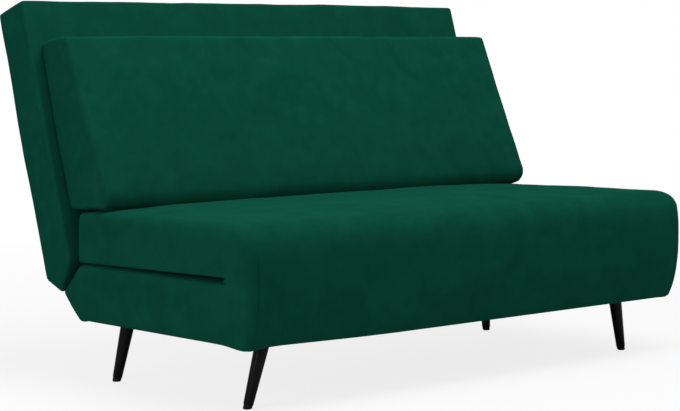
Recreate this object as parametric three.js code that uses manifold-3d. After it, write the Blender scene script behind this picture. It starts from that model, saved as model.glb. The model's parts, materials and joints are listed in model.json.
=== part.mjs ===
// A two-seat sofa bed with a reclining back, a seat that unfolds forwards and one wide back cushion.
// Millimetres, +Z up, +Y towards the back, +X to the right as seen from in front.
// The origin is on the floor, under the middle of the whole sofa.
import * as THREE from 'three';
import { mergeVertices } from 'three/addons/utils/BufferGeometryUtils.js';
import Module from 'manifold-3d';

const wasm = await Module();
wasm.setup();

// Driving sizes. Depths are counted from the front edge of the base's underside, and the fold line is
// where the seat lies on the base's front.
const sofaWidth = 1450;
const sideBulge = 17;
const groundClearance = 152;
const baseHeight = 144;
const seatDepth = 626;
const seatRearThickness = 114;
const seatFrontThickness = 128;
const seatFrontSetback = 6;
const frontBulge = 20;
const bodyHalfRise = 145;
const backLean = 17;
const backThickness = 118;
const backLength = 650;
const backSideOverhang = 3;
const backFootDrop = 6;
const backFootGap = 20;

// Clearances and overruns.
const fit = 0.3;
const runningGap = 0.6;
const overrun = 40;

// Soft forms.
const arcSteps = 3;
const roundSteps = 3;
const roundSwell = 2;
const flatSwell = 4;
const stationShares = [-0.9, -0.6, -0.2, 0.2, 0.6, 0.9];
const crownShares = [0.06, 0.14, 0.3, 0.5, 0.7, 0.86, 0.94];
const capShares = [0.55, 0.85];

// Slot between the seat and the base: how far its ceiling and floor lie above or below the fold line.
const frontBlockDepth = 58;
const slotWall = 3;
const slotCeilingFrontRise = 8;
const slotCeilingRearDrop = 6;
const slotFloorFrontDrop = 5;
const slotFloorRearDrop = 10;

// Base cover.
const baseRearInset = 7;
const noseReach = 65;
const noseRise = 62;
const baseEndRound = 30;
const baseFrontDraw = 26;
const baseSmallDraw = 5;
const baseRearDraw = 9;
const baseBottomRound = 9;
const noseRound = 11;
const baseRearTopRound = 18;
const blockRound = 3;
const baseFrontCrown = 4;

// Seat cover.
const seatFrontRound = 58;
const seatRearRound = 16;
const seatEndRound = 32;
const seatTopDraw = 20;
const seatRearDraw = 8;
const seatTopCrown = 14;
const seatFrontCrown = 3;
const seatBottomRound = 6;

// Back cover.
const backBottomTip = 52;
const backTipDepth = 70;
const backRearFoot = 20;
const backShoulder = 12;
const backShoulderRise = 8;
const backTopRound = 20;
const backRearRound = 14;
const backFootRound = 8;
const backEndRound = 20;
const backDraw = 12;
const backFrontCrown = 4;

// Back cushion: insets from the sofa's sides and the seat's rear, and rises above the seat's rear edge.
const cushionSideInset = 15;
const cushionHeight = 408;
const cushionBottomRise = 1;
const cushionFrontRise = 42;
const cushionTopReach = 62;
const cushionFrontInset = 105;
const cushionHeelInset = 78;
const cushionTopRise = 4;
const cushionTopRound = 26;
const cushionFrontRound = 24;
const cushionHeelRound = 20;
const cushionRearRound = 18;
const cushionEndRound = 34;
const cushionDraw = 22;
const cushionFrontCrown = 18;
const cushionTopCrown = 6;
const cushionSideCrown = 9;
const cushionLap = 2;

// Padding left round the hollows of the covers, where the frames and foams lie.
const sidePadding = 22;
const baseFrontPadding = 31;
const baseRearPadding = 19;
const baseTopPadding = 27;
const seatFrontPadding = 90;
const seatRearPadding = 20;
const seatTopPadding = 12;
const backFrontPadding = 22;
const backTopPadding = 28;
const backBottomPadding = 5;

// Base frame.
const dustCoverThickness = 2.4;
const railThickness = 22;
const baseRailHeight = 49;
const sideRailWidth = 100;
const sideRailInset = 52;
const slatPanelThickness = 10;
const slatGap = 46;
const slatWidth = 62;
const slatMargin = 40;

// Legs. A splay is how far the top of a leg lies from over its foot.
const legSideInset = 85;
const frontLegInset = 101;
const rearLegInset = 33;
const frontLegSplayX = 39;
const frontLegSplayY = -8;
const rearLegSplayX = 26;
const rearLegSplayY = -16;
const legFootRadius = 10;
const legTopRadius = 15.5;
const legSides = 20;
const glideLength = 9;
const glideRadius = 10.5;
const legPlateThickness = 3;
const legPlateSize = 84;
const legPlateShift = 20;

// Recliner hinges.
const pivotPastNose = 13;
const pivotRise = 76;
const plateThickness = 4;
const platePocket = 2.4;
const pinRadius = 5;
const pinHeadRadius = 8.5;
const pinHeadThickness = 2.5;
const plateEyeRadius = 20;
const basePlateLength = 217;
const basePlateArm = 97;
const basePlateDrop = 60;
const basePlateHeight = 33;
const basePlateNeck = 13;
const backPlateTop = 150;
const backPlateFront = 78;
const backPlateRear = 110;
const backPlateKnee = 32;
const detentRadius = 13.5;
const detentHoleRadius = 2.3;
const plungerTipRadius = 2;
const plungerCanRadius = 4.5;
const plungerCanLength = 12;
const plungerBearing = 150;
const clickAngles = 3;
const hingeSlotInside = 16;
const hingeSlotOutside = 17;
const hingeSlotDrop = 65;
const hingeSlotRise = 34;
const hingeNotchRadius = 52;
const roundSides = 24;

// Seat frame.
const underPanelThickness = 8;
const seatRailHeight = 34;
const seatSideRailWidth = 60;
const lowerFoamThickness = 26;

// Back frame.
const rearPanelThickness = 3;
const backRailDepth = 40;
const stileWidth = 24;
const backRailWidth = 40;

// Seat legs, which swing down from the seat's rear end once it is unfolded.
const seatLegInset = 125;
const seatLegPivotRise = 59;
const supportTubeRadius = 10;
const supportStudRadius = 4;
const studHeadRadius = 7;
const studHeadThickness = 3;
const bracketThickness = 3;
const seatBracketWidth = 70;
const seatBracketHeight = 44;
const tubeEndPast = 9;
const tubeWall = 1.5;
const capThickness = 3;
const plugLength = 14;
const tipRadius = 13;
const tipDepth = 28;
const tipFloor = 4;

// Back leg, a bar on two arms behind the back.
const backLegInset = 295;
const backLegPivotRise = 430;
const backLegStandoff = 14;
const earThickness = 3;
const backBracketHeight = 50;
const earHeight = 26;
const backLegBarPast = 34;

// Spine, the part of the one-piece front cover that bends where the seat unfolds.
const spineHalfHeight = 24;
const spineThickness = 1.2;
const spineInset = 40;

// Heights and places worked out from the sizes above.
const half = sofaWidth / 2;
const backHalf = half + backSideOverhang;
const foldLevel = groundClearance + baseHeight;
const seatRearHeight = foldLevel + seatRearThickness;
const seatFrontHeight = foldLevel + seatFrontThickness;
const slotFrontTop = foldLevel + slotCeilingFrontRise;
const slotRearTop = foldLevel - slotCeilingRearDrop;
const slotFrontFloor = foldLevel - slotFloorFrontDrop;
const slotRearFloor = foldLevel - slotFloorRearDrop;
const baseRearDepth = seatDepth - baseRearInset;
const noseDepth = baseRearDepth + noseReach;
const noseHeight = groundClearance + noseRise;
const cushionTopHeight = seatRearHeight + cushionHeight;
const cushionBottomHeight = seatRearHeight + cushionBottomRise;
const cushionFrontHeight = seatRearHeight + cushionFrontRise;
const cushionTopDepth = seatDepth + cushionTopReach;
const cushionFrontDepth = seatDepth - cushionFrontInset;
const cushionHeelDepth = seatDepth - cushionHeelInset;
const bodyHollowHalf = half - sidePadding;
const baseHollowRear = baseRearDepth - baseRearPadding;
const baseHollowTop = foldLevel - baseTopPadding;
const seatHollowRear = seatDepth - seatRearPadding;
const seatHollowTop = seatRearHeight - seatTopPadding;
const backHollowTop = backLength - backTopPadding;
const sideRailOuter = half - sideRailInset;
const legFootHalfSpan = half - legSideInset;
const legPlateHalfSpan = legFootHalfSpan - legPlateShift;
const rearLegFootDepth = seatDepth - rearLegInset;
const pivotDepth = noseDepth + pivotPastNose;
const pivotHeight = groundClearance + pivotRise;
const basePlateTail = pivotDepth - basePlateLength;
const basePlateKnee = pivotDepth - basePlateArm;
const basePlateBottom = pivotHeight - basePlateDrop;
const basePlateTop = basePlateBottom + basePlateHeight;
const hingeSlotHalfInner = sideRailOuter - hingeSlotInside;
const hingeSlotHalfOuter = sideRailOuter + hingeSlotOutside;
const hingeSlotBottom = pivotHeight - hingeSlotDrop;
const hingeSlotTop = pivotHeight + hingeSlotRise;
const seatLegPivotHalfSpan = half - seatLegInset;
const seatLegPivotHeight = foldLevel + seatLegPivotRise;
const backLegHalfSpan = half - backLegInset;
const lean = THREE.MathUtils.degToRad(backLean);
const recline = Math.PI / 2 - lean;
const backFootDepth = seatDepth + backFootGap;
const backFootHeight = foldLevel - backFootDrop;
const pivotFromFoot = new THREE.Vector2(pivotDepth - backFootDepth, pivotHeight - backFootHeight);
const pivotInBack = new THREE.Vector2(
  pivotFromFoot.x * Math.cos(lean) - pivotFromFoot.y * Math.sin(lean),
  pivotFromFoot.x * Math.sin(lean) + pivotFromFoot.y * Math.cos(lean),
);

const finishes = {
  velvet: new THREE.MeshStandardMaterial({ color: 0x0b4a37, roughness: 0.85, metalness: 0 }),
  velvetSeat: new THREE.MeshStandardMaterial({ color: 0x115240, roughness: 0.85, metalness: 0 }),
  lining: new THREE.MeshStandardMaterial({ color: 0x1d1f1e, roughness: 0.95, metalness: 0 }),
  foam: new THREE.MeshStandardMaterial({ color: 0xe8dfb8, roughness: 1, metalness: 0 }),
  timber: new THREE.MeshStandardMaterial({ color: 0xb98d5a, roughness: 0.7, metalness: 0 }),
  beech: new THREE.MeshStandardMaterial({ color: 0xd0a878, roughness: 0.6, metalness: 0 }),
  leg: new THREE.MeshStandardMaterial({ color: 0x141414, roughness: 0.35, metalness: 0.1 }),
  steel: new THREE.MeshStandardMaterial({ color: 0x24262a, roughness: 0.4, metalness: 0.8 }),
  zinc: new THREE.MeshStandardMaterial({ color: 0x9a9da0, roughness: 0.35, metalness: 1 }),
  rubber: new THREE.MeshStandardMaterial({ color: 0x0d0d0d, roughness: 0.9, metalness: 0 }),
};

// Turns a closed geometry into a solid that can be cut and joined.
function solid(geometry) {
  const plain = geometry.clone();
  plain.deleteAttribute('normal');
  plain.deleteAttribute('uv');
  const merged = mergeVertices(plain);
  const source = new wasm.Mesh({
    numProp: 3,
    vertProperties: new Float32Array(merged.attributes.position.array),
    triVerts: new Uint32Array(merged.index.array),
  });
  return new wasm.Manifold(source);
}

// Turns a solid back into a geometry.
function shell(body) {
  const mesh = body.getMesh();
  const geometry = new THREE.BufferGeometry();
  const count = mesh.vertProperties.length / mesh.numProp;
  const places = new Float32Array(count * 3);
  for (let i = 0; i < count; i += 1) {
    for (let k = 0; k < 3; k += 1) places[i * 3 + k] = mesh.vertProperties[i * mesh.numProp + k];
  }
  geometry.setAttribute('position', new THREE.BufferAttribute(places, 3));
  geometry.setIndex(Array.from(mesh.triVerts));
  geometry.computeVertexNormals();
  return geometry;
}

// A box between two corners.
function block(low, high) {
  const size = high.map((value, i) => value - low[i]);
  const middle = high.map((value, i) => (value + low[i]) / 2);
  return new THREE.BoxGeometry(...size).translate(...middle);
}

// A round bar of one or two radii between two points.
function bar(from, to, radius, endRadius = radius, sides = roundSides) {
  const start = new THREE.Vector3(...from);
  const end = new THREE.Vector3(...to);
  const along = end.clone().sub(start);
  const length = along.length();
  const geometry = new THREE.CylinderGeometry(endRadius, radius, length, sides);
  const turn = new THREE.Quaternion().setFromUnitVectors(new THREE.Vector3(0, 1, 0), along.normalize());
  const middle = start.add(end).divideScalar(2);
  return geometry.applyQuaternion(turn).translate(middle.x, middle.y, middle.z);
}

// An outline in depth and height, extruded across the sofa from one side value to another.
function across(points, from, to) {
  const shape = new THREE.Shape(points.map(([y, z]) => new THREE.Vector2(y, z)));
  const geometry = new THREE.ExtrudeGeometry(shape, { depth: to - from, bevelEnabled: false });
  const turn = new THREE.Matrix4().makeBasis(
    new THREE.Vector3(0, 1, 0),
    new THREE.Vector3(0, 0, 1),
    new THREE.Vector3(1, 0, 0),
  );
  return geometry.applyMatrix4(turn).translate(from, 0, 0);
}

const meet = (p, d, q, e) => {
  const cross = d.x * e.y - d.y * e.x;
  const t = ((q.x - p.x) * e.y - (q.y - p.y) * e.x) / cross;
  return new THREE.Vector2(p.x + d.x * t, p.y + d.y * t);
};

// The points of a rounded, crowned outline. Each corner gives its place, its radius, and for the edge
// that follows it the crown at the middle, how flat that crown is, and how far the edge is drawn in at
// the ends of the form.
// fullness runs from 0 to 1 for the crown, drawn from 0 to 1 for the draw, and grow moves every edge out.
function outlinePoints(corners, fullness, drawn, grow) {
  const count = corners.length;
  const place = corners.map((c) => new THREE.Vector2(c.y, c.z));
  const runs = place.map((p, i) => place[(i + 1) % count].clone().sub(p).normalize());
  const moved = runs.map((d, i) => {
    const inward = new THREE.Vector2(-d.y, d.x);
    return place[i].clone().addScaledVector(inward, (corners[i].draw ?? 0) * drawn - grow);
  });
  const tips = place.map((p, i) => {
    const before = (i + count - 1) % count;
    return meet(moved[before], runs[before], moved[i], runs[i]);
  });
  const arcs = tips.map((tip, i) => {
    const d1 = runs[(i + count - 1) % count];
    const d2 = runs[i];
    const turn = Math.atan2(d1.x * d2.y - d1.y * d2.x, d1.x * d2.x + d1.y * d2.y);
    const radius = corners[i].r + (turn > 0 ? grow : -grow);
    const start = tip.clone().addScaledVector(d1, -radius * Math.tan(Math.abs(turn) / 2));
    const side = new THREE.Vector2(-d1.y, d1.x).multiplyScalar(radius * Math.sign(turn));
    const centre = start.clone().add(side);
    const points = [];
    for (let k = 0; k <= arcSteps; k += 1) {
      const arm = start.clone().sub(centre);
      points.push(arm.rotateAround(new THREE.Vector2(0, 0), (turn * k) / arcSteps).add(centre));
    }
    return points;
  });
  const points = [];
  arcs.forEach((arc, i) => {
    points.push(...arc);
    const from = arc[arc.length - 1];
    const to = arcs[(i + 1) % count][0];
    const out = new THREE.Vector2(runs[i].y, -runs[i].x);
    const shares = corners[i].crown ? crownShares : [];
    const swell = corners[i].swell ?? roundSwell;
    shares.forEach((share) => {
      const rise = corners[i].crown * fullness * (1 - Math.abs(2 * share - 1) ** swell);
      points.push(from.clone().lerp(to, share).addScaledVector(out, rise));
    });
  });
  return points;
}

// A soft form: the outline carried across the sofa, crowned in the middle, drawn in and rounded at its
// ends. bulge gives how far a point at a height moves out sideways at the ends.
function softForm(corners, halfWidth, endRound, { grow = 0, sideCrown = 0, bulge = () => 0 } = {}) {
  const rings = [];
  const addRing = (x, fullness, drawn) => {
    const points = outlinePoints(corners, fullness, drawn, grow);
    rings.push(points.map((p) => new THREE.Vector3(x * (1 + bulge(p.y) / halfWidth), p.x, p.y)));
  };
  const flat = halfWidth - endRound + grow;
  const ends = [];
  for (let k = 0; k <= roundSteps; k += 1) {
    const angle = (Math.PI / 2) * (k / roundSteps);
    ends.push([flat + endRound * Math.sin(angle), 1 - Math.cos(angle)]);
  }
  const fullAt = (x) => 1 - Math.abs(x / halfWidth) ** flatSwell;
  [...ends].reverse().forEach(([x, drawn]) => addRing(-x, fullAt(Math.min(x, halfWidth)), drawn));
  stationShares.forEach((share) => addRing(share * flat, fullAt(share * flat), 0));
  ends.forEach(([x, drawn]) => addRing(x, fullAt(Math.min(x, halfWidth)), drawn));

  const places = [];
  const faces = [];
  const count = rings[0].length;
  rings.forEach((ring) => ring.forEach((p) => places.push(p.x, p.y, p.z)));
  const quad = (a, b, c, d) => faces.push(a, b, c, a, c, d);
  for (let r = 0; r + 1 < rings.length; r += 1) {
    for (let i = 0; i < count; i += 1) {
      const j = (i + 1) % count;
      quad(r * count + i, r * count + j, (r + 1) * count + j, (r + 1) * count + i);
    }
  }
  const plainCap = (first, ring, outward) => {
    const flatRing = ring.map((p) => new THREE.Vector2(p.y, p.z));
    THREE.ShapeUtils.triangulateShape(flatRing, []).forEach(([a, b, c]) => {
      const turned = outward > 0 ? [a, b, c] : [a, c, b];
      faces.push(...turned.map((i) => first + i));
    });
  };
  const crownedCap = (first, ring, outward) => {
    const centre = new THREE.Vector3();
    ring.forEach((p) => centre.add(p));
    centre.divideScalar(count);
    let outer = first;
    capShares.slice().reverse().forEach((share) => {
      const start = places.length / 3;
      ring.forEach((p) => {
        const q = centre.clone().lerp(p, share);
        places.push(q.x + outward * sideCrown * (1 - share * share), q.y, q.z);
      });
      for (let i = 0; i < count; i += 1) {
        const j = (i + 1) % count;
        if (outward > 0) quad(outer + i, outer + j, start + j, start + i);
        else quad(outer + j, outer + i, start + i, start + j);
      }
      outer = start;
    });
    const tip = places.length / 3;
    places.push(centre.x + outward * sideCrown, centre.y, centre.z);
    for (let i = 0; i < count; i += 1) {
      const j = (i + 1) % count;
      if (outward > 0) faces.push(outer + i, outer + j, tip);
      else faces.push(outer + j, outer + i, tip);
    }
  };
  const cap = sideCrown > 0 ? crownedCap : plainCap;
  cap(0, rings[0], -1);
  cap((rings.length - 1) * count, rings[rings.length - 1], 1);
  const geometry = new THREE.BufferGeometry();
  geometry.setAttribute('position', new THREE.BufferAttribute(new Float32Array(places), 3));
  geometry.setIndex(faces);
  return geometry;
}

const sofa = new THREE.Group();
const backGroup = new THREE.Group();
backGroup.position.set(0, backFootDepth, backFootHeight);
backGroup.rotation.x = -lean;
sofa.add(backGroup);

function add(name, geometry, finish, parent = sofa) {
  const made = geometry instanceof THREE.BufferGeometry ? geometry : shell(geometry);
  const mesh = new THREE.Mesh(made, finish.clone());
  mesh.name = name;
  parent.add(mesh);
  return mesh;
}

const sides = [['left', -1], ['right', 1]];

// A pair of side values in rising order, whichever side they are on.
const span = (sign, inner, outer) => (sign > 0 ? [inner, outer] : [-outer, -inner]);

// The seat and base swell together, most at the fold line.
const bodyBulge = (z) => sideBulge * (1 - ((z - foldLevel) / bodyHalfRise) ** 2);

// Outlines of the soft forms, anticlockwise as seen with the front to the left.
const baseCorners = [
  { y: 0, z: groundClearance, r: baseBottomRound, draw: baseSmallDraw },
  { y: baseRearDepth, z: groundClearance, r: baseBottomRound, draw: baseRearDraw },
  { y: noseDepth, z: noseHeight, r: noseRound, draw: baseRearDraw },
  { y: baseRearDepth, z: slotRearFloor, r: baseRearTopRound, draw: 0 },
  { y: frontBlockDepth + slotWall, z: slotFrontFloor, r: slotWall, draw: 0 },
  { y: frontBlockDepth, z: foldLevel - fit / 2, r: blockRound, draw: 0 },
  { y: -frontBulge, z: foldLevel - fit / 2, r: blockRound, draw: baseFrontDraw, crown: baseFrontCrown },
];
const seatCorners = [
  { y: -frontBulge, z: foldLevel + fit / 2, r: blockRound, draw: 0 },
  { y: frontBlockDepth, z: foldLevel + fit / 2, r: blockRound, draw: 0 },
  { y: frontBlockDepth + slotWall, z: slotFrontTop, r: slotWall, draw: 0 },
  { y: seatDepth, z: slotRearTop, r: seatBottomRound, draw: seatRearDraw },
  {
    y: seatDepth, z: seatRearHeight, r: seatRearRound,
    draw: seatTopDraw, crown: seatTopCrown, swell: flatSwell,
  },
  {
    y: -seatFrontSetback, z: seatFrontHeight, r: seatFrontRound,
    draw: baseFrontDraw, crown: seatFrontCrown,
  },
];
const backCorners = [
  { y: backTipDepth, z: -backBottomTip, r: backFootRound, draw: backDraw / 2 },
  { y: backThickness, z: -backRearFoot, r: backRearRound, draw: backDraw },
  { y: backThickness, z: backLength, r: backRearRound, draw: backDraw },
  { y: 0, z: backLength, r: backTopRound, draw: backDraw, crown: backFrontCrown },
  { y: 0, z: backShoulderRise, r: backFootRound, draw: backDraw / 2 },
  { y: backShoulder, z: -backShoulder, r: backFootRound, draw: backDraw / 2 },
];
const backFrontAt = (z) => backFootDepth + (z - backFootHeight) * Math.tan(lean);
const cushionCorners = [
  { y: cushionHeelDepth, z: cushionBottomHeight, r: cushionHeelRound, draw: cushionDraw / 2 },
  {
    y: backFrontAt(cushionBottomHeight) + cushionLap, z: cushionBottomHeight, r: cushionRearRound,
    draw: 0,
  },
  {
    y: backFrontAt(cushionTopHeight) + cushionLap, z: cushionTopHeight, r: cushionRearRound,
    draw: cushionDraw, crown: cushionTopCrown,
  },
  {
    y: cushionTopDepth, z: cushionTopHeight + cushionTopRise, r: cushionTopRound,
    draw: cushionDraw, crown: cushionFrontCrown, swell: flatSwell,
  },
  { y: cushionFrontDepth, z: cushionFrontHeight, r: cushionFrontRound, draw: cushionDraw },
];

const makeBase = (grow = 0) => softForm(baseCorners, half, baseEndRound, { grow, bulge: bodyBulge });
const makeSeat = (grow = 0) => softForm(seatCorners, half, seatEndRound, { grow, bulge: bodyBulge });
const makeBack = (grow = 0) => softForm(backCorners, backHalf, backEndRound, { grow });

// Base cover, open below, with a slot at each end of its rear for a hinge plate.
let baseCover = solid(makeBase());
baseCover = baseCover.subtract(solid(block(
  [-bodyHollowHalf, baseFrontPadding, groundClearance - overrun],
  [bodyHollowHalf, baseHollowRear, baseHollowTop],
)));
for (const [, sign] of sides) {
  const [low, high] = span(sign, hingeSlotHalfInner, hingeSlotHalfOuter);
  baseCover = baseCover.subtract(solid(block(
    [low, baseHollowRear - overrun, hingeSlotBottom],
    [high, noseDepth + overrun, hingeSlotTop],
  )));
}
add('base_cover', baseCover, finishes.velvet);

// A slatted panel: a board with slots cut across it, one body.
function slattedPanel(low, high, along) {
  let panel = solid(block(low, high));
  const from = low[along] + slatMargin;
  const room = high[along] - slatMargin - from;
  const pitch = slatGap + slatWidth;
  const count = Math.floor((room + slatWidth) / pitch);
  const start = from + (room - count * pitch + slatWidth) / 2;
  for (let i = 0; i < count; i += 1) {
    const cutLow = low.map((value) => value - overrun);
    const cutHigh = high.map((value) => value + overrun);
    cutLow[along] = start + i * pitch;
    cutHigh[along] = cutLow[along] + slatGap;
    cutLow[0] = low[0] + slatMargin;
    cutHigh[0] = high[0] - slatMargin;
    panel = panel.subtract(solid(block(cutLow, cutHigh)));
  }
  return panel;
}

// Base frame and filling, from the dust cover up.
const dustBottom = groundClearance + fit;
const baseRailBottom = dustBottom + dustCoverThickness + fit;
const baseRailTop = baseRailBottom + baseRailHeight;
const basePanelBottom = baseRailTop + fit;
const basePanelTop = basePanelBottom + slatPanelThickness;
const baseInner = {
  x: bodyHollowHalf - fit,
  front: baseFrontPadding + fit,
  rear: baseHollowRear - fit,
};
add('dust_cover', block(
  [-baseInner.x, baseInner.front, dustBottom],
  [baseInner.x, baseInner.rear, dustBottom + dustCoverThickness],
), finishes.lining);
const frontRailRear = baseInner.front + railThickness;
const rearRailFront = baseInner.rear - railThickness;
add('base_front_rail', block(
  [-baseInner.x, baseInner.front, baseRailBottom],
  [baseInner.x, frontRailRear, baseRailTop],
), finishes.timber);
add('base_rear_rail', block(
  [-sideRailOuter, rearRailFront, baseRailBottom],
  [sideRailOuter, baseInner.rear, baseRailTop],
), finishes.timber);
for (const [side, sign] of sides) {
  const [low, high] = span(sign, sideRailOuter - sideRailWidth, sideRailOuter);
  add(`base_${side}_rail`, block(
    [low, frontRailRear + fit, baseRailBottom],
    [high, rearRailFront - fit, baseRailTop],
  ), finishes.timber);
}
add('base_slat_panel', slattedPanel(
  [-baseInner.x, baseInner.front, basePanelBottom],
  [baseInner.x, baseInner.rear, basePanelTop],
  1,
), finishes.beech);
add('base_foam', block(
  [-baseInner.x, baseInner.front, basePanelTop + fit],
  [baseInner.x, baseInner.rear, baseHollowTop - fit],
), finishes.foam);

// Legs: a splayed, tapered leg under a steel plate, on a round glide.
const plateBottom = groundClearance - legPlateThickness;
const legTop = plateBottom - fit;
const legPlaces = [
  ['front_left', -1, frontLegInset, frontLegSplayX, frontLegSplayY],
  ['front_right', 1, frontLegInset, frontLegSplayX, frontLegSplayY],
  ['rear_left', -1, rearLegFootDepth, rearLegSplayX, rearLegSplayY],
  ['rear_right', 1, rearLegFootDepth, rearLegSplayX, rearLegSplayY],
];
const wide = sofaWidth + overrun;
const floorCut = () => solid(block([-wide, -wide, -wide], [wide, wide, 0]));
const topCut = () => solid(block([-wide, -wide, legTop], [wide, wide, wide]));
for (const [name, sign, footDepth, splayX, splayY] of legPlaces) {
  const foot = new THREE.Vector3(sign * legFootHalfSpan, footDepth, 0);
  const top = new THREE.Vector3(sign * (legFootHalfSpan - splayX), footDepth + splayY, legTop);
  const axis = top.clone().sub(foot).normalize();
  const at = (distance) => foot.clone().addScaledVector(axis, distance).toArray();
  const length = top.distanceTo(foot);
  const taper = (legTopRadius - legFootRadius) / length;
  const legStart = glideLength + fit;
  const legEnd = length + overrun;
  const leg = solid(bar(
    at(legStart), at(legEnd), legFootRadius, legFootRadius + taper * (legEnd - legStart), legSides,
  )).subtract(topCut());
  add(`leg_${name}`, leg, finishes.leg);
  const glide = solid(bar(at(-overrun), at(glideLength), glideRadius, glideRadius, legSides));
  add(`leg_glide_${name}`, glide.subtract(floorCut()), finishes.rubber);
  const plateMiddle = footDepth + splayY;
  add(`leg_plate_${name}`, block(
    [sign * legPlateHalfSpan - legPlateSize / 2, plateMiddle - legPlateSize / 2, plateBottom],
    [sign * legPlateHalfSpan + legPlateSize / 2, plateMiddle + legPlateSize / 2, groundClearance],
  ), finishes.steel);
}

// Recliner hinges: a plate on the base's side rail, a plate on the back's stile, a riveted pin and a
// spring plunger that clicks into the holes of the back plate.
const basePlateInner = sideRailOuter + fit;
const basePlateOuter = basePlateInner + plateThickness;
const backPlateInner = basePlateOuter + fit;
const backPlateOuter = backPlateInner + plateThickness;
const bearing = THREE.MathUtils.degToRad(plungerBearing);
const pivotAt = (x) => [x, pivotDepth, pivotHeight];
const plungerAt = (x, turn) => [
  x,
  pivotDepth + detentRadius * Math.cos(bearing + turn),
  pivotHeight + detentRadius * Math.sin(bearing + turn),
];
for (const [side, sign] of sides) {
  const [low, high] = span(sign, basePlateInner, basePlateOuter);
  const through = [low - overrun, high + overrun];
  let plate = solid(across([
    [basePlateTail, basePlateBottom],
    [basePlateKnee, basePlateBottom],
    [pivotDepth + basePlateNeck / 2, pivotHeight - plateEyeRadius + fit],
    [pivotDepth - basePlateNeck / 2, pivotHeight + plateEyeRadius - fit],
    [basePlateKnee, basePlateTop],
    [basePlateTail, basePlateTop],
  ], low, high));
  plate = plate.add(solid(bar(pivotAt(low), pivotAt(high), plateEyeRadius)));
  const pinHole = solid(bar(pivotAt(through[0]), pivotAt(through[1]), pinRadius + fit));
  plate = plate.subtract(pinHole);
  plate = plate.subtract(solid(bar(
    plungerAt(through[0], 0), plungerAt(through[1], 0), plungerTipRadius + fit,
  )));
  add(`hinge_base_plate_${side}`, plate, finishes.zinc);

  const inner = basePlateInner - fit;
  const outer = backPlateOuter + fit;
  let pin = solid(bar(pivotAt(sign * inner), pivotAt(sign * outer), pinRadius));
  for (const [face, headEnd] of [[inner, inner - pinHeadThickness], [outer, outer + pinHeadThickness]]) {
    pin = pin.add(solid(bar(pivotAt(sign * face), pivotAt(sign * headEnd), pinHeadRadius)));
  }
  add(`hinge_pin_${side}`, pin, finishes.zinc);

  let plunger = solid(bar(
    plungerAt(sign * (inner - plungerCanLength), 0), plungerAt(sign * inner, 0), plungerCanRadius,
  ));
  const canMiddle = inner - plungerCanLength / 2;
  plunger = plunger.add(solid(bar(
    plungerAt(sign * canMiddle, 0), plungerAt(sign * basePlateOuter, 0), plungerTipRadius,
  )));
  plunger = plunger.subtract(solid(bar(
    pivotAt(sign * (inner - overrun)), pivotAt(sign * outer), pinHeadRadius + fit,
  )));
  add(`click_plunger_${side}`, plunger, finishes.zinc);
}

// Seat cover, open on its sleeping side, and the panel that closes it.
const slotTopAt = (y) => {
  const share = (y - frontBlockDepth - slotWall) / (seatDepth - frontBlockDepth - slotWall);
  return slotFrontTop + (slotRearTop - slotFrontTop) * share;
};
let seatCover = solid(makeSeat());
seatCover = seatCover.subtract(solid(block(
  [-bodyHollowHalf, seatFrontPadding, foldLevel - overrun],
  [bodyHollowHalf, seatHollowRear, seatHollowTop],
)));
add('seat_cover', seatCover, finishes.velvetSeat);
const seatInner = {
  x: bodyHollowHalf - fit,
  front: seatFrontPadding + fit,
  rear: seatHollowRear - fit,
};
const panelTop = slotTopAt(seatInner.front) + underPanelThickness;
add('seat_under_panel', across([
  [seatInner.front, slotTopAt(seatInner.front) + fit],
  [seatInner.rear, slotTopAt(seatInner.rear) + fit],
  [seatInner.rear, panelTop],
  [seatInner.front, panelTop],
], -seatInner.x, seatInner.x), finishes.velvetSeat);
const lowerFoamBottom = panelTop + fit;
const lowerFoamTop = lowerFoamBottom + lowerFoamThickness;
const seatRailBottom = lowerFoamTop + fit;
const seatRailTop = seatRailBottom + seatRailHeight;
const seatPanelTop = seatRailTop + fit + slatPanelThickness;
add('seat_foam_lower', block(
  [-seatInner.x, seatInner.front, lowerFoamBottom],
  [seatInner.x, seatInner.rear, lowerFoamTop],
), finishes.foam);
add('seat_front_rail', block(
  [-seatInner.x, seatInner.front, seatRailBottom],
  [seatInner.x, seatInner.front + railThickness, seatRailTop],
), finishes.timber);
add('seat_rear_rail', block(
  [-seatInner.x, seatInner.rear - railThickness, seatRailBottom],
  [seatInner.x, seatInner.rear, seatRailTop],
), finishes.timber);
for (const [side, sign] of sides) {
  const [low, high] = span(sign, seatInner.x - seatSideRailWidth, seatInner.x);
  add(`seat_${side}_rail`, block(
    [low, seatInner.front + railThickness + fit, seatRailBottom],
    [high, seatInner.rear - railThickness - fit, seatRailTop],
  ), finishes.timber);
}
add('seat_slat_panel', slattedPanel(
  [-seatInner.x, seatInner.front, seatRailTop + fit],
  [seatInner.x, seatInner.rear, seatPanelTop],
  1,
), finishes.beech);
add('seat_foam_upper', block(
  [-seatInner.x, seatInner.front, seatPanelTop + fit],
  [seatInner.x, seatInner.rear, seatHollowTop - fit],
), finishes.foam);

// Spine across the fold line, shaped to the two front faces.
const spine = solid(block(
  [-half + spineInset, -frontBulge - fit - spineThickness, foldLevel - spineHalfHeight],
  [half - spineInset, 0, foldLevel + spineHalfHeight],
));
const skinGap = fit + spineThickness;
const spineOuter = solid(makeBase(skinGap)).add(solid(makeSeat(skinGap)));
const spineInner = solid(makeBase(fit)).add(solid(makeSeat(fit)));
add('fold_spine', spine.intersect(spineOuter).subtract(spineInner), finishes.velvet);

// A support tube between two points, bored through along a longer line.
function hollowTube(from, to, boreFrom, boreTo) {
  const outer = solid(bar(from, to, supportTubeRadius));
  return outer.subtract(solid(bar(boreFrom, boreTo, supportTubeRadius - tubeWall)));
}

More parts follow.
